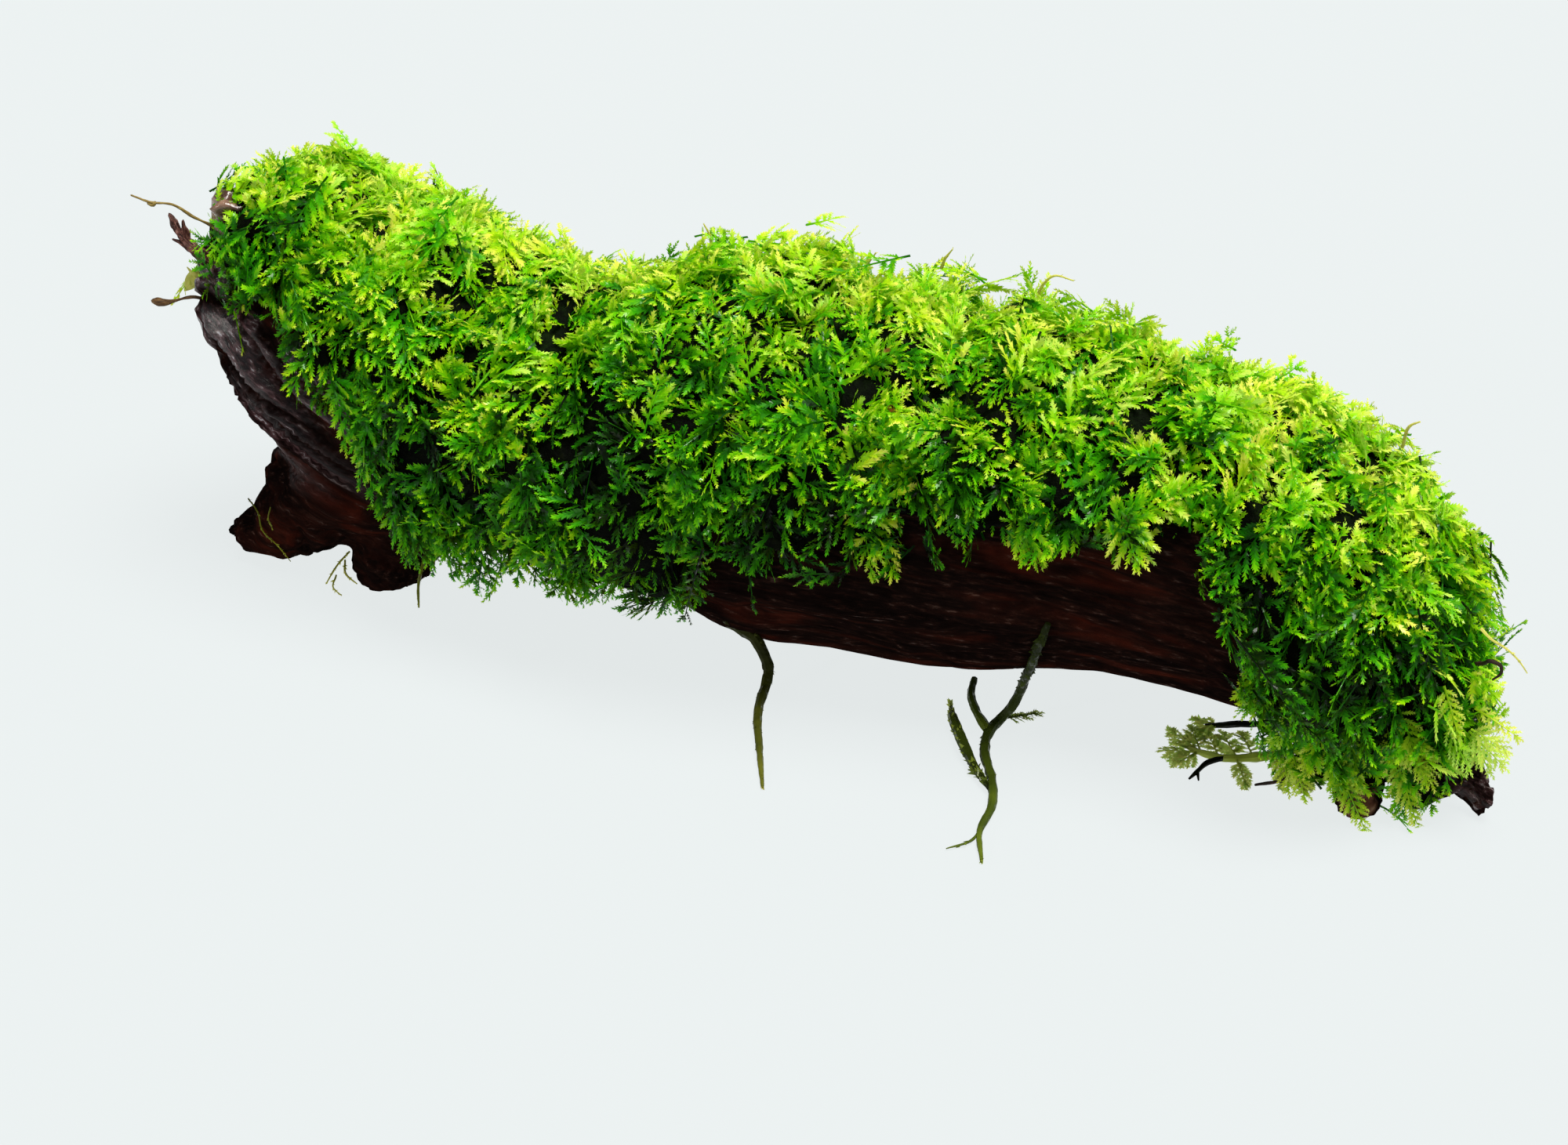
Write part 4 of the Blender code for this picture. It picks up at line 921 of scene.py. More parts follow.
def makeFelt():
    # the felt of old stems under the leafy shoots, which closes the cushion; its near-black colour is partly painted
    # shade, standing in for the shade deep inside the cushion
    mesh = remeshed("felt", [nodes["moss_mat"].data], mossMat["feltVoxel"], 0.0)
    points = meshPoints(mesh)
    ends, kept = joinedTo(mesh, len(points))
    normals = np.empty(len(points) * 3, dtype=np.float32)
    mesh.vertices.foreach_get("normal", normals)
    normals = unit(evened(normals.reshape(-1, 3).astype(float), ends, 6))
    thickness = np.empty(len(points))
    for i in range(len(points)):
        start = Vector(points[i] - normals[i] * 0.2 * mm)
        hit = mossTree.ray_cast(start, Vector(-normals[i]), 0.03)
        thickness[i] = hit[3] if hit[0] else 0.6 * mm
    place = (points - centred) / mm
    skirt = np.clip((place[:, 0] - 52.0) / 5.0, 0.0, 1.0) * np.clip((9.0 - place[:, 2]) / 4.0, 0.0, 1.0)
    clump = noiseAt(points / mm, mossMat["clumpSize"], 3.0)
    hollow = mossMat["clumpDepth"] * np.clip(0.25 - clump * 1.3, 0.0, 1.0) * 9.0 * mm
    depth = np.minimum(mossMat["feltDepth"] + hollow + skirt * 2.5 * mm, (0.5 + 0.4 * skirt) * thickness)
    depth = evened(depth, ends, 4)
    points = evened(points, ends, 8) - normals * depth[:, None]
    points += normals * (noiseAt(points / mm, 2.4) * np.minimum(mossMat["feltLumps"], 0.5 * depth))[:, None]
    points[:, 2] = np.maximum(points[:, 2], 0.02 * mm)
    faces = quadsOf(mesh)
    faces = faces[kept[faces].all(axis=1)]

    towards = unit(np.array(mossMat["lightFrom"]))
    # painted light: the felt's colour is greener the more it faces lightFrom
    paintedLight = np.clip(normals @ towards, 0.0, 1.0)
    growth = np.stack([paintedLight ** 1.5, paintedLight * 0.0, paintedLight], axis=1)

    # Old moss stems: matted, wet and brown-black, with painted light: greener on the side that faces lightFrom.
    material, tree = newMaterial("matted old moss stems")
    place = addNode(tree, "ShaderNodeTexCoord").outputs["Object"]
    threads = addNode(tree, "ShaderNodeTexNoise", {"Vector": place, "Scale": 900.0, "Detail": 4.0, "Roughness": 0.7})
    dark = addNode(tree, "ShaderNodeValToRGB", {"Fac": threads.outputs["Fac"]}, stops=[
        (0.38, "#010100"), (0.55, "#030501"), (0.68, "#080C02"), (0.82, "#1A1207")])
    paintedLitStems = addNode(tree, "ShaderNodeValToRGB", {"Fac": threads.outputs["Fac"]}, stops=[
        (0.36, "#020501"), (0.52, "#061002"), (0.66, "#0E2003"), (0.80, "#2A240D")])
    grown = addNode(tree, "ShaderNodeAttribute", attribute_name="growth").outputs["Vector"]
    parts = addNode(tree, "ShaderNodeSeparateXYZ", {"Vector": grown})
    color = addNode(tree, "ShaderNodeMix", {
        0: parts.outputs["X"], 6: dark.outputs["Color"], 7: paintedLitStems.outputs["Color"]}, data_type="RGBA")
    relief = addNode(tree, "ShaderNodeBump", {
        "Height": threads.outputs["Fac"], "Strength": 1.0, "Distance": 0.5 * mm})
    shader = addNode(tree, "ShaderNodeBsdfPrincipled", {
        "Base Color": color.outputs[2], "Roughness": 0.7, "Specular IOR Level": 0.04,
        "Normal": relief.outputs["Normal"]})
    addNode(tree, "ShaderNodeOutputMaterial", {"Surface": shader.outputs["BSDF"]})
    piece = meshPiece("moss_felt", points, faces, material, growth=growth, smooth=True)
    bpy.data.meshes.remove(mesh)
    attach(piece, "root")
    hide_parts("moss_mat")
    print("felt", 2 * len(piece.data.polygons), "triangles")


def makeMoss():
    draw = np.random.default_rng(27)
    fronds = mossFronds(draw)
    order = np.argsort(fronds["root"][:, 0])
    leafMaterial = mossLeaf("living moss leaf", mossGreens, "#C8F0A0", "#FFF4B0", "#D2FF30")
    share = np.array_split(order, mossMat["pieces"])
    total = 0
    for number, members in enumerate(share):
        group = {name: values[members] for name, values in fronds.items()}
        points, faces, marks = growFronds(draw, group, mossHabit, fitToMat)
        points[:, 2] = np.maximum(points[:, 2], 0.12 * mm)
        piece = meshPiece(f"moss_fronds_{number + 1}", points, faces, leafMaterial, growth=marks)
        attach(piece, "root")
        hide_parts("moss_mat")
        total += len(faces)
        print("moss fronds", number + 1, len(members), "fronds", len(faces), "triangles")
    print("moss", len(order), "fronds", total, "triangles")


makeFelt()
makeMoss()

# pale loose fronds that hang from the right skirt: root, tip and longest branchlet in millimetres, and how much painted
# light makes them paler
skirtFronds = [
    ((67.6, -5.4, 12.2), (72.0, -6.4, 0.9), 2.1, 0.98), ((62.4, -6.8, 7.8), (67.4, -8.0, 0.9), 2.1, 0.78),
    ((76.0, -3.4, 11.6), (79.8, -4.2, 9.2), 2.0, 1.40), ((76.2, -3.6, 12.0), (80.1, -4.4, 11.2), 1.6, 1.44),
    ((75.8, -3.4, 11.2), (78.7, -4.2, 8.2), 1.6, 1.36), ((76.4, -3.8, 14.8), (81.0, -4.4, 13.2), 0.9, 1.20),
    ((73.4, -5.9, 18.2), (75.4, -6.4, 13.2), 1.5, 0.92), ((69.0, -6.0, 14.6), (72.6, -6.2, 6.6), 2.1, 0.72),
    ((58.0, -5.2, 6.6), (60.2, -5.8, 1.1), 2.0, 0.92), ((57.2, -4.8, 5.6), (58.2, -5.8, 1.6), 1.6, 0.86),
    ((64.3, -7.4, 11.6), (66.0, -7.8, 6.2), 1.9, 0.62), ((59.6, -7.4, 13.4), (57.2, -8.0, 8.6), 2.0, 0.84),
    ((57.8, -7.6, 15.8), (54.2, -8.2, 12.2), 2.0, 0.88), ((71.6, -5.8, 10.8), (73.2, -6.0, 6.0), 1.8, 0.86),
    ((70.4, -5.8, 11.6), (69.8, -6.6, 6.4), 1.8, 0.62), ((65.2, -7.0, 9.0), (63.8, -7.6, 3.6), 1.9, 0.60),
    ((61.6, -7.2, 11.0), (60.6, -7.8, 5.6), 2.0, 0.74), ((73.6, -5.0, 13.0), (76.6, -5.4, 9.0), 1.7, 0.98),
]


def makeSkirtFronds():
    draw = np.random.default_rng(12)
    greens = [(0.04, "#0A1403"), (0.24, "#1E5408"), (0.42, "#52960E"), (0.58, "#9CC822"), (0.74, "#CCE846"),
              (0.96, "#F4FAA6")]
    material = mossLeaf("pale hanging moss frond", greens, "#CDF4A0", "#FFF6A8", "#DCF640")
    points, faces, marks, offset = [], [], [], 0
    for foot, tip, width, paintedLight in skirtFronds:
        foot, tip = np.array(foot) * mm + centred, np.array(tip) * mm + centred
        long = np.linalg.norm(tip - foot)
        frond = {"root": foot[None], "heading": unit(tip - foot)[None],
                 "face": unit(np.array([[0.26, -0.78, 0.56]]) + draw.normal(0.0, 0.16, (1, 3))),
                 "length": np.array([long]), "bow": down[None] * 0.04 + draw.normal(0.0, 0.03, (1, 3)),
                 "mark": np.array([[draw.random(), paintedLight]])}
        habit = dict(mossHabit, nodeSpacing=0.82 * mm, branchletShare=0.5, branchletLongest=width * mm,
                     branchletShortest=0.8 * mm, spreadAtFoot=62.0, spreadAtTip=36.0, leanOut=0.0, leanStray=0.14,
                     leafSpacing=0.27 * mm, leafLength=0.72 * mm)
        spots, corners, grown = growFronds(draw, frond, habit)
        points.append(spots)
        faces.append(corners + offset)
        offset += len(spots)
        marks.append(grown)
    points = np.concatenate(points)
    points[:, 2] = np.maximum(points[:, 2], 0.1 * mm)
    piece = meshPiece("skirt_fronds", points, np.concatenate(faces), material, growth=np.concatenate(marks))
    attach(piece, "root")
    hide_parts("moss_mat")
    print("skirt fronds", len(skirtFronds), "fronds", len(piece.data.polygons), "triangles")


makeSkirtFronds()


# ---- the loose shoots on the floor, and the small dry pieces at the left end

def smoothRoute(rows, step):
    # a smooth curve through rows of x, y, z and radius in millimetres, in even steps, in metres
    table = np.array(rows, dtype=float) * mm
    table[:, :3] += centred
    lengths = np.linalg.norm(np.diff(table[:, :3], axis=0), axis=1)
    before = np.concatenate(([0.0], np.cumsum(lengths)))
    slopes = np.gradient(table, before, axis=0)
    at = np.linspace(0.0, before[-1], max(6, int(before[-1] / step)))
    part = np.clip(np.searchsorted(before, at, side="right") - 1, 0, len(lengths) - 1)
    span = lengths[part][:, None]
    t = ((at - before[part]) / lengths[part])[:, None]
    return ((2 * t**3 - 3 * t**2 + 1) * table[part] + (t**3 - 2 * t**2 + t) * slopes[part] * span
            + (-2 * t**3 + 3 * t**2) * table[part + 1] + (t**3 - t**2) * slopes[part + 1] * span)


def offWood(route):
    # moves a route off the wood and off the floor by its own radius
    route = route.copy()
    for row in route:
        place, normal, _, _ = woodTree.find_nearest(Vector(row[:3]))
        reach = row[3] + 0.15 * mm
        if (Vector(row[:3]) - place).dot(normal) < reach:
            row[:3] = place + normal * reach
        row[2] = max(row[2], row[3])
    return route


def routeFrames(route):
    # tangent, up and side at each point of a route, turned as little as possible along it
    tangents = unit(np.gradient(route[:, :3], axis=0))
    up = -down if abs(tangents[0, 2]) < 0.8 else np.array([1.0, 0.0, 0.0])
    ups = []
    for tangent in tangents:
        up = up - np.dot(up, tangent) * tangent
        up = up / np.linalg.norm(up)
        ups.append(up)
    ups = np.array(ups)
    return tangents, ups, np.cross(tangents, ups)


def stemTube(route, sides, share, knots, flat=1.0):
    # a closed tube round the route; knots makes it uneven, flat narrows it one way
    tangents, ups, acrosses = routeFrames(route)
    rings = len(route)
    turn = np.linspace(0.0, 2.0 * math.pi, sides, endpoint=False)
    swell = 1.0 + knots * noiseAt(route[:, :3] / mm, 1.1)
    radius = (route[:, 3] * share * swell)[:, None, None]
    rough = 1.0 + 0.5 * knots * noiseAt(
        (route[:, None, :3] / mm + np.stack([np.cos(turn), np.sin(turn), turn * 0], 1)[None] * 0.8).reshape(-1, 3),
        0.5).reshape(rings, sides, 1)
    ring = route[:, None, :3] + rough * radius * (
        ups[:, None] * np.sin(turn)[None, :, None] * flat + acrosses[:, None] * np.cos(turn)[None, :, None])
    points = np.concatenate([ring.reshape(-1, 3), route[:1, :3], route[-1:, :3] + tangents[-1:] * route[-1:, 3:] * 0.6])
    start = (np.arange(rings - 1)[:, None] * sides + np.arange(sides)[None]).ravel()
    after = (np.arange(rings - 1)[:, None] * sides + (np.arange(sides)[None] + 1) % sides).ravel()
    faces = [np.stack([start, start + sides, after + sides], 1), np.stack([start, after + sides, after], 1)]
    loop = np.arange(sides)
    following = (loop + 1) % sides
    faces.append(np.stack([loop, following, np.full(sides, rings * sides)], 1))
    end = (rings - 1) * sides
    faces.append(np.stack([end + following, end + loop, np.full(sides, rings * sides + 1)], 1))
    along = np.concatenate([np.repeat(np.linspace(0.0, 1.0, rings), sides), [0.0, 1.0]])
    return points, np.concatenate(faces), along


def leavesAlong(draw, route, habit):
    # leaves on a shoot: in two flat rows, or all round it
    tangents, ups, acrosses = routeFrames(route)
    distance = np.concatenate(([0.0], np.cumsum(np.linalg.norm(np.diff(route[:, :3], axis=0), axis=1))))
    count = int(distance[-1] / habit["spacing"]) * habit["rows"]
    at = np.sort(draw.random(count)) * distance[-1]
    pick = np.stack([np.interp(at, distance, column) for column in route.T], axis=1)
    tangent = unit(np.stack([np.interp(at, distance, tangents[:, k]) for k in range(3)], axis=1))
    up = unit(np.stack([np.interp(at, distance, ups[:, k]) for k in range(3)], axis=1))
    across = np.cross(tangent, up)
    number = np.arange(count)
    if habit["flat"]:
        turn = np.where(number % 2 == 0, 0.0, math.pi) + draw.normal(0.0, 0.22, count)
    else:
        turn = number * 2.4 + draw.normal(0.0, 0.3, count)
    outward = across * np.cos(turn)[:, None] + up * np.sin(turn)[:, None]
    spread = np.radians(habit["spread"] + draw.normal(0.0, 6.0, count))[:, None]
    along = unit(tangent * np.cos(spread) + outward * np.sin(spread))
    share = at / distance[-1]
    taper = np.interp(share, [0.0, 0.15, 0.6, 1.0], habit["taper"])
    length = habit["length"] * taper * draw.uniform(0.8, 1.15, count)
    face = up if habit["flat"] else outward
    points, faces = growLeaves(
        pick[:, :3], along, np.cross(face, along), length, np.full(count, habit["widthShare"]),
        np.zeros(count), draw.uniform(0.0, 0.12, count), draw.uniform(-0.04, 0.12, count))
    return points.reshape(-1, 3), faces, np.repeat(share, 4)


shootHabits = {
    "round": {"spacing": 0.24 * mm, "rows": 4, "flat": False, "spread": 17.0, "length": 1.5 * mm,
              "widthShare": 0.55, "taper": [1.0, 1.0, 0.8, 0.35], "stemShare": 0.82, "sides": 8},
    "pale": {"spacing": 0.22 * mm, "rows": 4, "flat": False, "spread": 15.0, "length": 1.7 * mm,
             "widthShare": 0.5, "taper": [0.8, 1.0, 1.0, 0.5], "stemShare": 0.55, "sides": 8},
    "bare": {"spacing": 1.6 * mm, "rows": 1, "flat": False, "spread": 35.0, "length": 0.8 * mm,
             "widthShare": 0.4, "taper": [0.6, 1.0, 1.0, 0.6], "stemShare": 0.9, "sides": 7},
    "dark": {"spacing": 1.9 * mm, "rows": 1, "flat": False, "spread": 30.0, "length": 0.5 * mm,
             "widthShare": 0.4, "taper": [0.6, 1.0, 1.0, 0.6], "stemShare": 0.9, "sides": 7},
}

# how old each kind's stem and leaves are, from dark to pale, and how much paler they get to the tip
shootAges = {"round": (0.06, 0.34, 0.12, 0.50), "pale": (0.06, 0.34, 0.34, 0.50), "bare": (0.20, 0.24, 0.24, 0.40),
             "dark": (-0.50, 0.10, -0.40, 0.20)}

# the small flat fronds on the loose shoots
bladeHabit = {"nodeSpacing": 0.56 * mm, "branchletShare": 0.62, "branchletShortest": 0.8 * mm, "spreadAtFoot": 58.0,
              "leanOut": 0.0, "leanStray": 0.10, "leafSpacing": 0.24 * mm, "leafLength": 0.86 * mm}

# each loose shoot, in millimetres: stems are rows of x, y, z and radius; blades are root, tip and width;
# its light number is painted light, which makes its colour paler
looseShoots = {
    "trailing_shoot_centre": {
        "stems": [("round", [
            (-8.0, -4.2, 9.0, 0.7), (-6.2, -4.2, 8.0, 0.8), (-3.9, -4.2, 6.8, 0.85), (-2.2, -4.0, 5.8, 0.85),
            (-1.1, -4.0, 4.2, 0.85), (-0.2, -4.4, 2.0, 0.8), (0.0, -6.0, 0.8, 0.74), (0.5, -9.2, 0.7, 0.68),
            (1.6, -12.7, 0.62, 0.6), (3.0, -16.0, 0.52, 0.5), (4.4, -19.3, 0.4, 0.38), (5.8, -22.6, 0.24, 0.22)])],
        "blades": [],
        "leaf": {},
        "paintedLight": 0.70,
        "yellow": 0.9,
    },
    "trailing_shoot_forked": {
        "stems": [("round", [
            (32.2, -8.0, 17.9, 0.4), (31.4, -7.6, 15.6, 0.5), (30.4, -6.6, 12.2, 0.55), (28.9, -4.2, 8.0, 0.6),
            (27.8, -2.4, 4.6, 0.62), (26.9, -2.4, 2.3, 0.64), (25.8, -3.2, 0.8, 0.68), (25.4, -5.6, 0.75, 0.7),
            (26.0, -9.0, 0.7, 0.66), (28.4, -14.0, 0.66, 0.62), (29.7, -18.2, 0.62, 0.58),
            (29.8, -22.6, 0.5, 0.45), (31.4, -27.0, 0.28, 0.24)]),
            ("bare", [(20.8, 3.6, 0.6, 0.45), (21.4, 0.6, 0.7, 0.5), (23.2, -2.8, 0.75, 0.55),
                      (25.4, -5.6, 0.75, 0.6)]),
            ("pale", [(28.6, -15.4, 0.7, 0.5), (25.8, -12.2, 0.8, 0.9), (22.8, -7.8, 0.8, 1.15),
                      (20.8, -4.2, 0.6, 0.85), (19.8, -1.6, 0.4, 0.2)]),
            ("bare", [(29.8, -21.6, 0.5, 0.22), (29.4, -24.4, 0.4, 0.18), (27.4, -26.4, 0.3, 0.08)])],
        "blades": [((26.2, -2.8, 0.9), (29.0, -0.4, 0.5), 1.0)],
        "leaf": {},
        "paintedLight": 0.66,
        "yellow": 0.45,
    },
    "floor_sprig": {
        "stems": [("bare", [(58.2, 1.4, 2.2, 0.55), (56.6, 1.2, 1.2, 0.55), (54.8, 0.4, 0.8, 0.6),
                            (53.2, -0.4, 0.7, 0.58), (51.4, -1.2, 0.65, 0.52), (49.6, -1.6, 0.6, 0.48),
                            (48.0, -1.4, 0.6, 0.42), (46.2, -0.8, 0.5, 0.28)]),
                  ("dark", [(50.2, -1.6, 0.7, 0.34), (48.7, -3.1, 0.6, 0.32), (48.2, -4.6, 0.5, 0.28),
                            (47.7, -6.1, 0.4, 0.14)]),
                  ("dark", [(48.2, -4.6, 0.5, 0.24), (48.7, -6.0, 0.4, 0.12)]),
                  ("dark", [(53.6, 5.6, 1.6, 0.44), (52.3, 5.2, 1.1, 0.42), (50.2, 4.9, 0.8, 0.42),
                            (48.4, 4.3, 0.6, 0.38), (46.8, 3.8, 0.5, 0.28)])],
        "blades": [((47.8, -1.3, 0.6), (44.4, -1.9, 0.45), 1.9), ((47.2, -0.9, 0.6), (44.2, 1.3, 0.45), 1.9),
                   ((47.4, -0.8, 0.7), (45.8, 2.5, 0.5), 1.6), ((47.2, -1.4, 0.6), (46.0, -3.5, 0.4), 1.5),
                   ((49.6, -1.4, 0.7), (47.7, 2.3, 0.5), 1.7), ((51.4, -1.0, 0.8), (49.3, 2.7, 0.5), 1.8),
                   ((53.0, -0.2, 0.9), (51.2, 3.1, 0.6), 1.8), ((51.6, -1.4, 0.7), (53.6, -4.9, 0.5), 1.2),
                   ((57.4, 0.8, 1.7), (59.8, -3.8, 0.7), 2.0), ((58.0, 0.4, 2.0), (60.5, -1.5, 0.9), 1.8),
                   ((56.2, 0.8, 1.3), (57.5, -3.6, 0.6), 1.7), ((48.2, 4.2, 0.7), (46.0, 4.5, 0.5), 1.0),
                   ((47.8, 4.2, 0.7), (46.4, 2.9, 0.5), 0.9)],
        "leaf": {"nodeSpacing": 0.8 * mm, "leafLength": 1.15 * mm, "leafSpacing": 0.30 * mm, "leafFootShare": 1.2},
        # painted light: the sprig lies in the wood's shadow, so its colour is painted brighter
        "paintedLight": 1.35,
        "yellow": 0.42,
    },
}


def makeLooseShoots():
    draw = np.random.default_rng(61)
    greens = [(0.04, "#14160C"), (0.22, "#2C3216"), (0.40, "#545E28"), (0.58, "#868E3E"), (0.78, "#B8B862"),
              (1.0, "#E8E6A8")]
    leafMaterial = mossLeaf("damp trailing moss leaf", greens, "#C0F098", "#FFECC0", "#C8D890")
    for name, shoot in looseShoots.items():
        points, faces, marks, offset = [], [], [], 0

        def collect(found, base, gain):
            nonlocal offset
            spots, corners, along = found
            points.append(spots)
            faces.append(corners + offset)
            offset += len(spots)
            same = np.ones(len(spots))
            marks.append(np.stack([base + gain * along, shoot["yellow"] * same, shoot["paintedLight"] * same], axis=1))

        for kind, rows in shoot["stems"]:
            habit = shootHabits[kind]
            route = offWood(smoothRoute(rows, 0.35 * mm))
            stemAge, stemGain, leafAge, leafGain = shootAges[kind]
            collect(stemTube(route, habit["sides"], habit["stemShare"], 0.18), stemAge, stemGain)
            collect(leavesAlong(draw, route, habit), leafAge, leafGain)
        for foot, tip, width in shoot["blades"]:
            foot, tip = np.array(foot) * mm + centred, np.array(tip) * mm + centred
            long = np.linalg.norm(tip - foot)
            frond = {"root": foot[None], "heading": unit(tip - foot)[None], "face": -down[None],
                     "length": np.array([long]), "bow": np.array([[-0.03, -0.06, 0.05]]),
                     "mark": np.array([[shoot["yellow"], shoot["paintedLight"]]])}
            habit = {**mossHabit, **bladeHabit, **shoot["leaf"], "branchletLongest": width * mm}
            spots, corners, grown = growFronds(draw, frond, habit)
            points.append(spots)
            faces.append(corners + offset)
            offset += len(spots)
            marks.append(grown)
        points = np.concatenate(points)
        points[:, 2] = np.maximum(points[:, 2], 0.04 * mm)
        piece = meshPiece(name + "_leafy", points, np.concatenate(faces), leafMaterial, growth=np.concatenate(marks))
        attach(piece, "root")
        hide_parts(name)
        print(name, len(piece.data.polygons), "triangles")


makeLooseShoots()

# fine threads that stand or lie loose: rows of x, y, z and radius in millimetres, and how pale they are
looseThreads = [
    ([(22.4, 18.0, 38.0, 0.2), (22.5, 18.0, 42.1, 0.16), (24.0, 18.0, 43.9, 0.13), (26.1, 18.0, 43.7, 0.08)], 0.8),
    ([(64.0, 10.0, 35.5, 0.2), (64.7, 10.0, 38.3, 0.15), (65.6, 10.0, 38.9, 0.08)], 0.8),
    ([(3.0, 15.0, 40.6, 0.2), (3.8, 15.0, 42.6, 0.15), (5.0, 15.0, 44.7, 0.08)], 0.75),
    ([(12.0, 16.0, 43.6, 0.2), (12.4, 16.0, 44.8, 0.15), (13.2, 16.0, 46.1, 0.08)], 0.75),
    ([(-14.2, 16.0, 41.2, 0.2), (-14.4, 16.0, 42.7, 0.15), (-15.1, 16.0, 44.0, 0.08)], 0.75),
    ([(76.0, -3.0, 24.0, 0.18), (77.2, -3.6, 23.4, 0.15), (79.0, -4.0, 22.8, 0.12), (80.4, -4.0, 21.6, 0.09),
      (81.3, -4.0, 20.4, 0.06)], 1.0),
    ([(-54.3, 3.8, 0.5, 0.12), (-54.4, 1.1, 0.5, 0.12), (-54.0, -3.1, 0.4, 0.07)], 0.7),
    ([(-54.0, 2.0, 0.5, 0.12), (-52.5, -0.8, 0.5, 0.12), (-50.7, -1.9, 0.4, 0.07)], 0.7),
    ([(-53.6, -1.2, 0.5, 0.10), (-52.7, -3.8, 0.5, 0.10), (-51.3, -4.7, 0.4, 0.06)], 0.6),
    ([(-63.4, -2.4, 9.4, 0.10), (-62.0, -3.0, 8.2, 0.10), (-61.4, -3.4, 6.2, 0.09), (-59.5, -3.4, 4.4, 0.08),
      (-58.1, -3.4, 2.7, 0.05)], 0.3),
    ([(-60.2, -3.2, 9.4, 0.09), (-60.4, -3.6, 8.0, 0.08), (-59.8, -3.8, 6.8, 0.05)], 0.3),
    ([(-42.0, -2.0, 6.0, 0.2), (-42.2, -3.6, 3.0, 0.18), (-42.0, -4.2, 0.6, 0.1)], 0.35),
]


def roundLeaf(foot, tip, width, arch):
    # one rounded leaf as a small arched sheet
    foot, tip = np.array(foot) * mm + centred, np.array(tip) * mm + centred
    share, side = [values.ravel() for values in np.meshgrid(np.linspace(0.0, 1.0, 9), np.linspace(-1.0, 1.0, 5), indexing="ij")]
    across = unit(np.cross(tip - foot, np.array([0.3, 1.0, 0.2])))
    wide = 0.5 * width * mm * np.sin(math.pi * (0.06 + 0.90 * share ** 0.8)) * side
    out = -arch * mm * (np.sin(math.pi * share) - 0.5 * side ** 2)
    points = foot + (tip - foot) * share[:, None] + across * wide[:, None] + np.array([0.2, 1.0, 0.0]) * out[:, None]
    corner = (np.arange(8)[:, None] * 5 + np.arange(4)[None]).ravel()
    faces = np.concatenate([np.stack([corner, corner + 5, corner + 6], 1), np.stack([corner, corner + 6, corner + 1], 1)])
    return points, faces, share


roundLeaves = [((-69.8, 3.0, 34.8), (-72.0, 2.6, 31.8), 1.7, 0.4), ((-69.6, 2.6, 33.6), (-71.2, 2.2, 35.2), 1.0, 0.2)]


def makeLooseThreads():
    draw = np.random.default_rng(8)
    olives = [(0.04, "#181808"), (0.30, "#464E16"), (0.50, "#808C30"), (0.70, "#B4BE54"), (1.0, "#E6ECA0")]
    material = mossLeaf("pale moss thread", olives, "#E8E0B0", "#FFF2C0", "#E8F090")
    habit = {"spacing": 0.75 * mm, "rows": 2, "flat": False, "spread": 34.0, "length": 0.55 * mm,
             "widthShare": 0.45, "taper": [0.8, 1.0, 0.9, 0.6]}
    points, faces, marks, offset = [], [], [], 0
    grown = []
    for rows, pale in looseThreads:
        route = smoothRoute(rows, 0.3 * mm)
        if rows[0][2] < 12.0:
            route = offWood(route)
        grown += [(stemTube(route, 5, 1.0, 0.25), pale - 0.1), (leavesAlong(draw, route, habit), pale - 0.05)]
    grown += [(roundLeaf(*leaf), 0.66) for leaf in roundLeaves]
    for (spots, corners, along), pale in grown:
        points.append(spots)
        faces.append(corners + offset)
        offset += len(spots)
        same = np.ones(len(spots))
        marks.append(np.stack([pale + 0.2 * along, 0.8 * same, 0.75 * same], axis=1))
    points = np.concatenate(points)
    points[:, 2] = np.maximum(points[:, 2], 0.05 * mm)
    piece = meshPiece("loose_threads", points, np.concatenate(faces), material, growth=np.concatenate(marks))
    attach(piece, "root")
    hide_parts("moss_mat")
    print("loose threads", len(piece.data.polygons), "triangles")


def dryStrand(name, stops, bumpHeight):
    # Dry plant strand: matt, with colour that runs in fine stripes along it
    material, tree = newMaterial(name)
    growth = addNode(tree, "ShaderNodeAttribute", attribute_name="growth").outputs["Vector"]
    striped = addNode(tree, "ShaderNodeVectorMath", {0: growth, 1: (0.7, 4.0, 4.0)},
                      operation="MULTIPLY").outputs["Vector"]
    stripes = addNode(tree, "ShaderNodeTexNoise", {"Vector": striped, "Scale": 1.0, "Detail": 4.0, "Roughness": 0.7})
    color = addNode(tree, "ShaderNodeValToRGB", {"Fac": stripes.outputs["Fac"]}, stops=stops)
    rough = addNode(tree, "ShaderNodeMapRange", {
        "Value": stripes.outputs["Fac"], "From Min": 0.3, "From Max": 0.7, "To Min": 0.45, "To Max": 0.8})
    relief = addNode(tree, "ShaderNodeBump", {
        "Height": stripes.outputs["Fac"], "Strength": 0.7, "Distance": bumpHeight})
    shader = addNode(tree, "ShaderNodeBsdfPrincipled", {
        "Base Color": color.outputs["Color"], "Roughness": rough.outputs["Result"], "IOR": 1.45,
        "Specular IOR Level": 0.25, "Normal": relief.outputs["Normal"]})
    addNode(tree, "ShaderNodeOutputMaterial", {"Surface": shader.outputs["BSDF"]})
    return material


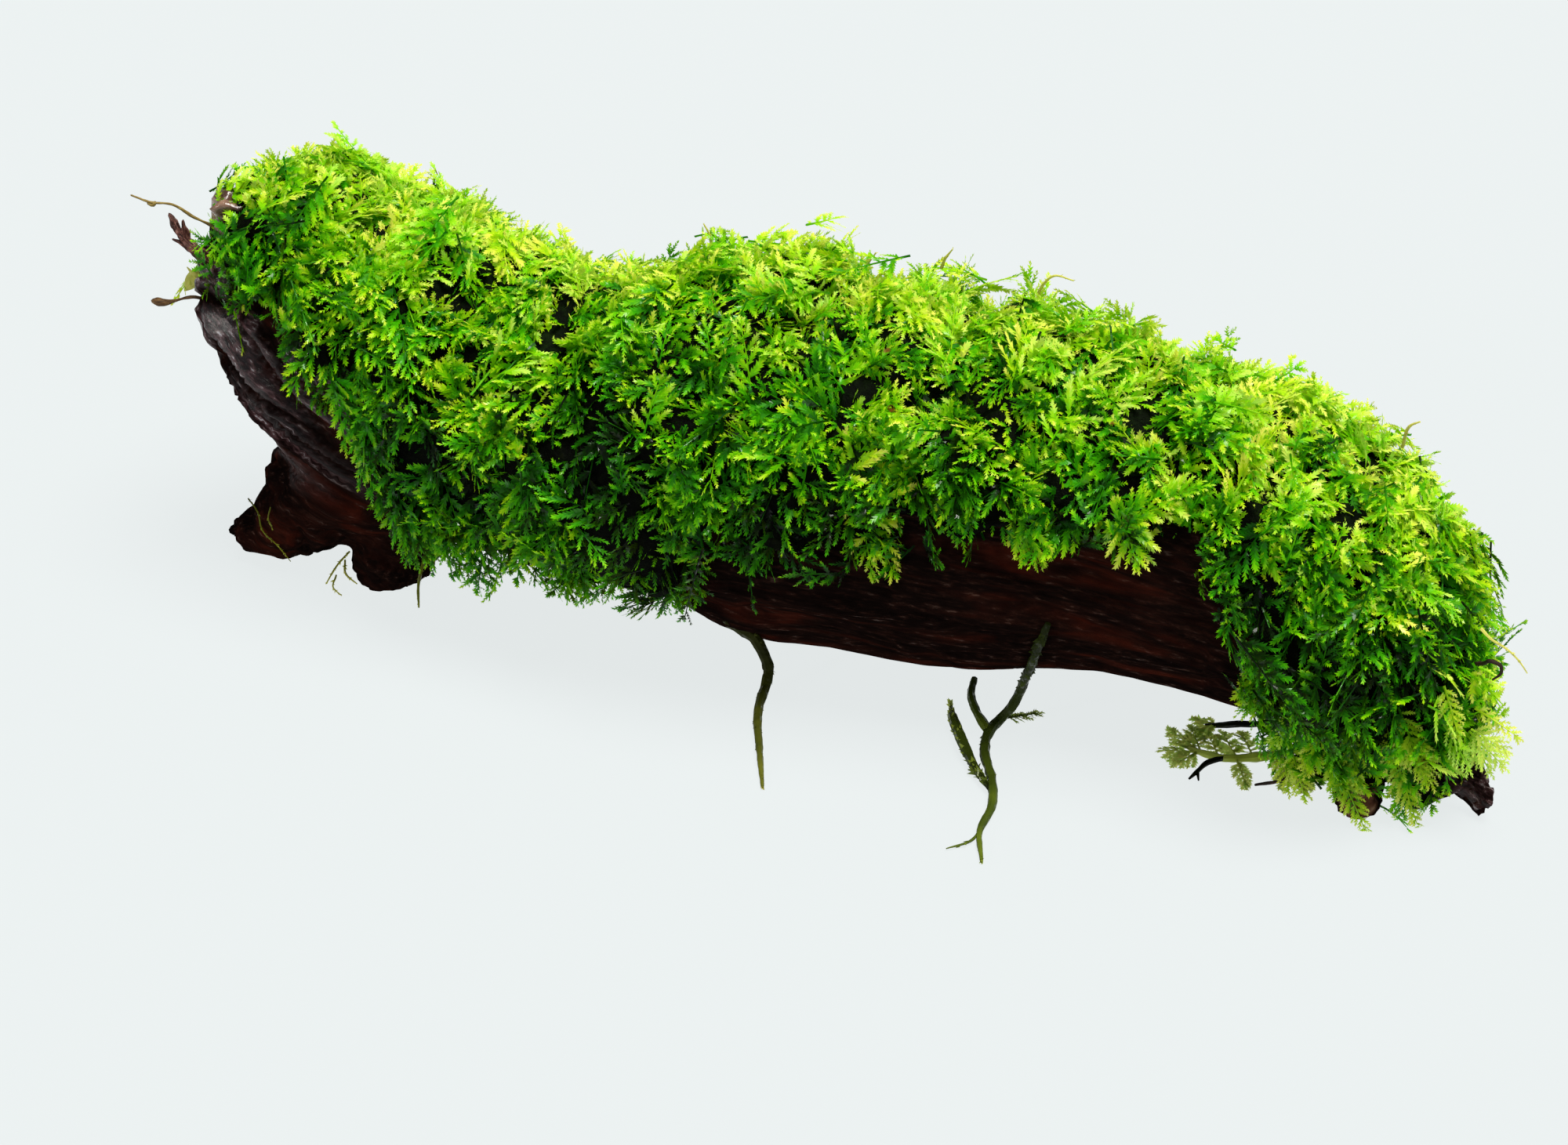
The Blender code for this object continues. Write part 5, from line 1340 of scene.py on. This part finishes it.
# the small dry pieces: rows of x, y, z and radius in millimetres, as in the solids; share thins them
smallPieces = {
    "root_fibre": {
        "material": "dry root fibre", "bump": 0.05 * mm,   # straw brown, paler where it is worn
        "stops": [(0.34, "#4A3818"), (0.48, "#7A6430"), (0.60, "#9A8648"), (0.74, "#C0AE74")],
        "strands": [
            ([(-68.6, 5.4, 39.0, 0.34), (-70.6, 4.0, 40.6, 0.30), (-72.6, 2.6, 42.6, 0.28),
              (-74.6, 1.6, 43.0, 0.25), (-76.6, 1.0, 43.8, 0.20)], 0.62, 0.35, 0.9, 7),
            ([(-74.1, 1.8, 43.0, 0.20), (-74.4, 1.7, 42.7, 0.30), (-74.9, 1.5, 42.9, 0.20)], 1.0, 0.3, 0.9, 7)],
        "slot": "root_fibre",
    },
    "bark_splinter": {
        "material": "torn red-brown bark", "bump": 0.12 * mm,   # red-brown, with pinkish inner bark laid bare
        "stops": [(0.36, "#1C0C0A"), (0.48, "#3C201A"), (0.58, "#6A443C"), (0.68, "#A07A70"), (0.80, "#C09C92")],
        "strands": [
            ([(-67.0, 3.6, 34.6, 1.2), (-69.6, 2.6, 37.0, 1.1), (-71.6, 2.2, 39.4, 0.8),
              (-72.6, 2.0, 41.6, 0.45)], 0.92, 0.7, 0.5, 13),
            ([(-70.4, 2.2, 37.6, 0.7), (-71.4, 1.7, 38.5, 0.55), (-72.2, 1.5, 38.9, 0.2)], 1.0, 0.6, 0.5, 9),
            ([(-71.0, 2.5, 38.6, 0.7), (-71.2, 2.4, 40.0, 0.55), (-71.2, 2.3, 41.0, 0.2)], 1.0, 0.6, 0.5, 9)],
        "slot": "loose_bark",
    },
    "moss_mat": {
        "material": "old brown moss stem", "bump": 0.04 * mm,   # nearly black, as wet dead stems are
        "stops": [(0.36, "#0C0805"), (0.50, "#241610"), (0.62, "#3E2A1C"), (0.76, "#5A4430")],
        "strands": [
            ([(75.8, -2.6, 19.4, 0.20), (76.8, -3.4, 20.2, 0.24), (77.4, -4.0, 21.0, 0.24), (78.6, -4.0, 20.6, 0.22),
              (78.7, -4.0, 19.9, 0.20), (77.9, -4.0, 18.8, 0.14)], 1.0, 0.3, 0.9, 7),
            ([(60.4, -3.0, 3.4, 0.3), (57.4, -4.6, 1.6, 0.24), (54.6, -5.2, 0.7, 0.16)], 1.0, 0.3, 0.9, 7)],
        "slot": "living_moss",
    },
    "seed_stalk": {
        "material": "dry brown seed stalk", "bump": 0.05 * mm,   # dull brown, darker in the furrows of its knob
        "stops": [(0.36, "#2A1A0E"), (0.50, "#543A20"), (0.62, "#7C5E38"), (0.76, "#A08658")],
        "strands": [
            ([(-68.0, 2.6, 31.0, 0.36), (-70.4, 1.8, 31.8, 0.30), (-72.6, 1.2, 31.2, 0.30), (-73.6, 1.0, 30.9, 0.62),
              (-74.4, 0.9, 30.9, 0.82), (-75.1, 0.9, 30.9, 0.40)], 0.72, 0.3, 0.9, 9)],
        "slot": "root_fibre",
    },
}


def makeSmallPieces():
    for name, small in smallPieces.items():
        material = dryStrand(small["material"], small["stops"], small["bump"])
        points, faces, growth, offset = [], [], [], 0
        for rows, share, knots, flat, sides in small["strands"]:
            route = smoothRoute(rows, 0.16 * mm)
            spots, corners, along = stemTube(route, sides, share, knots, flat)
            around = np.concatenate([np.tile(np.arange(sides) / sides, len(route)), [0.0, 0.0]])
            length = np.linalg.norm(np.diff(route[:, :3], axis=0), axis=1).sum() / mm
            growth.append(np.stack([along * length, np.abs(around - 0.5) * 4.0, along * 0.0], axis=1))
            points.append(spots)
            faces.append(corners + offset)
            offset += len(spots)
        label = "old_stems" if name == "moss_mat" else name + "_worn"
        piece = meshPiece(label, np.concatenate(points), np.concatenate(faces), material,
                          growth=np.concatenate(growth), smooth=name != "bark_splinter")
        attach(piece, "root")
        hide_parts(name)
        print(name, len(piece.data.polygons), "triangles")


makeLooseThreads()
makeSmallPieces()
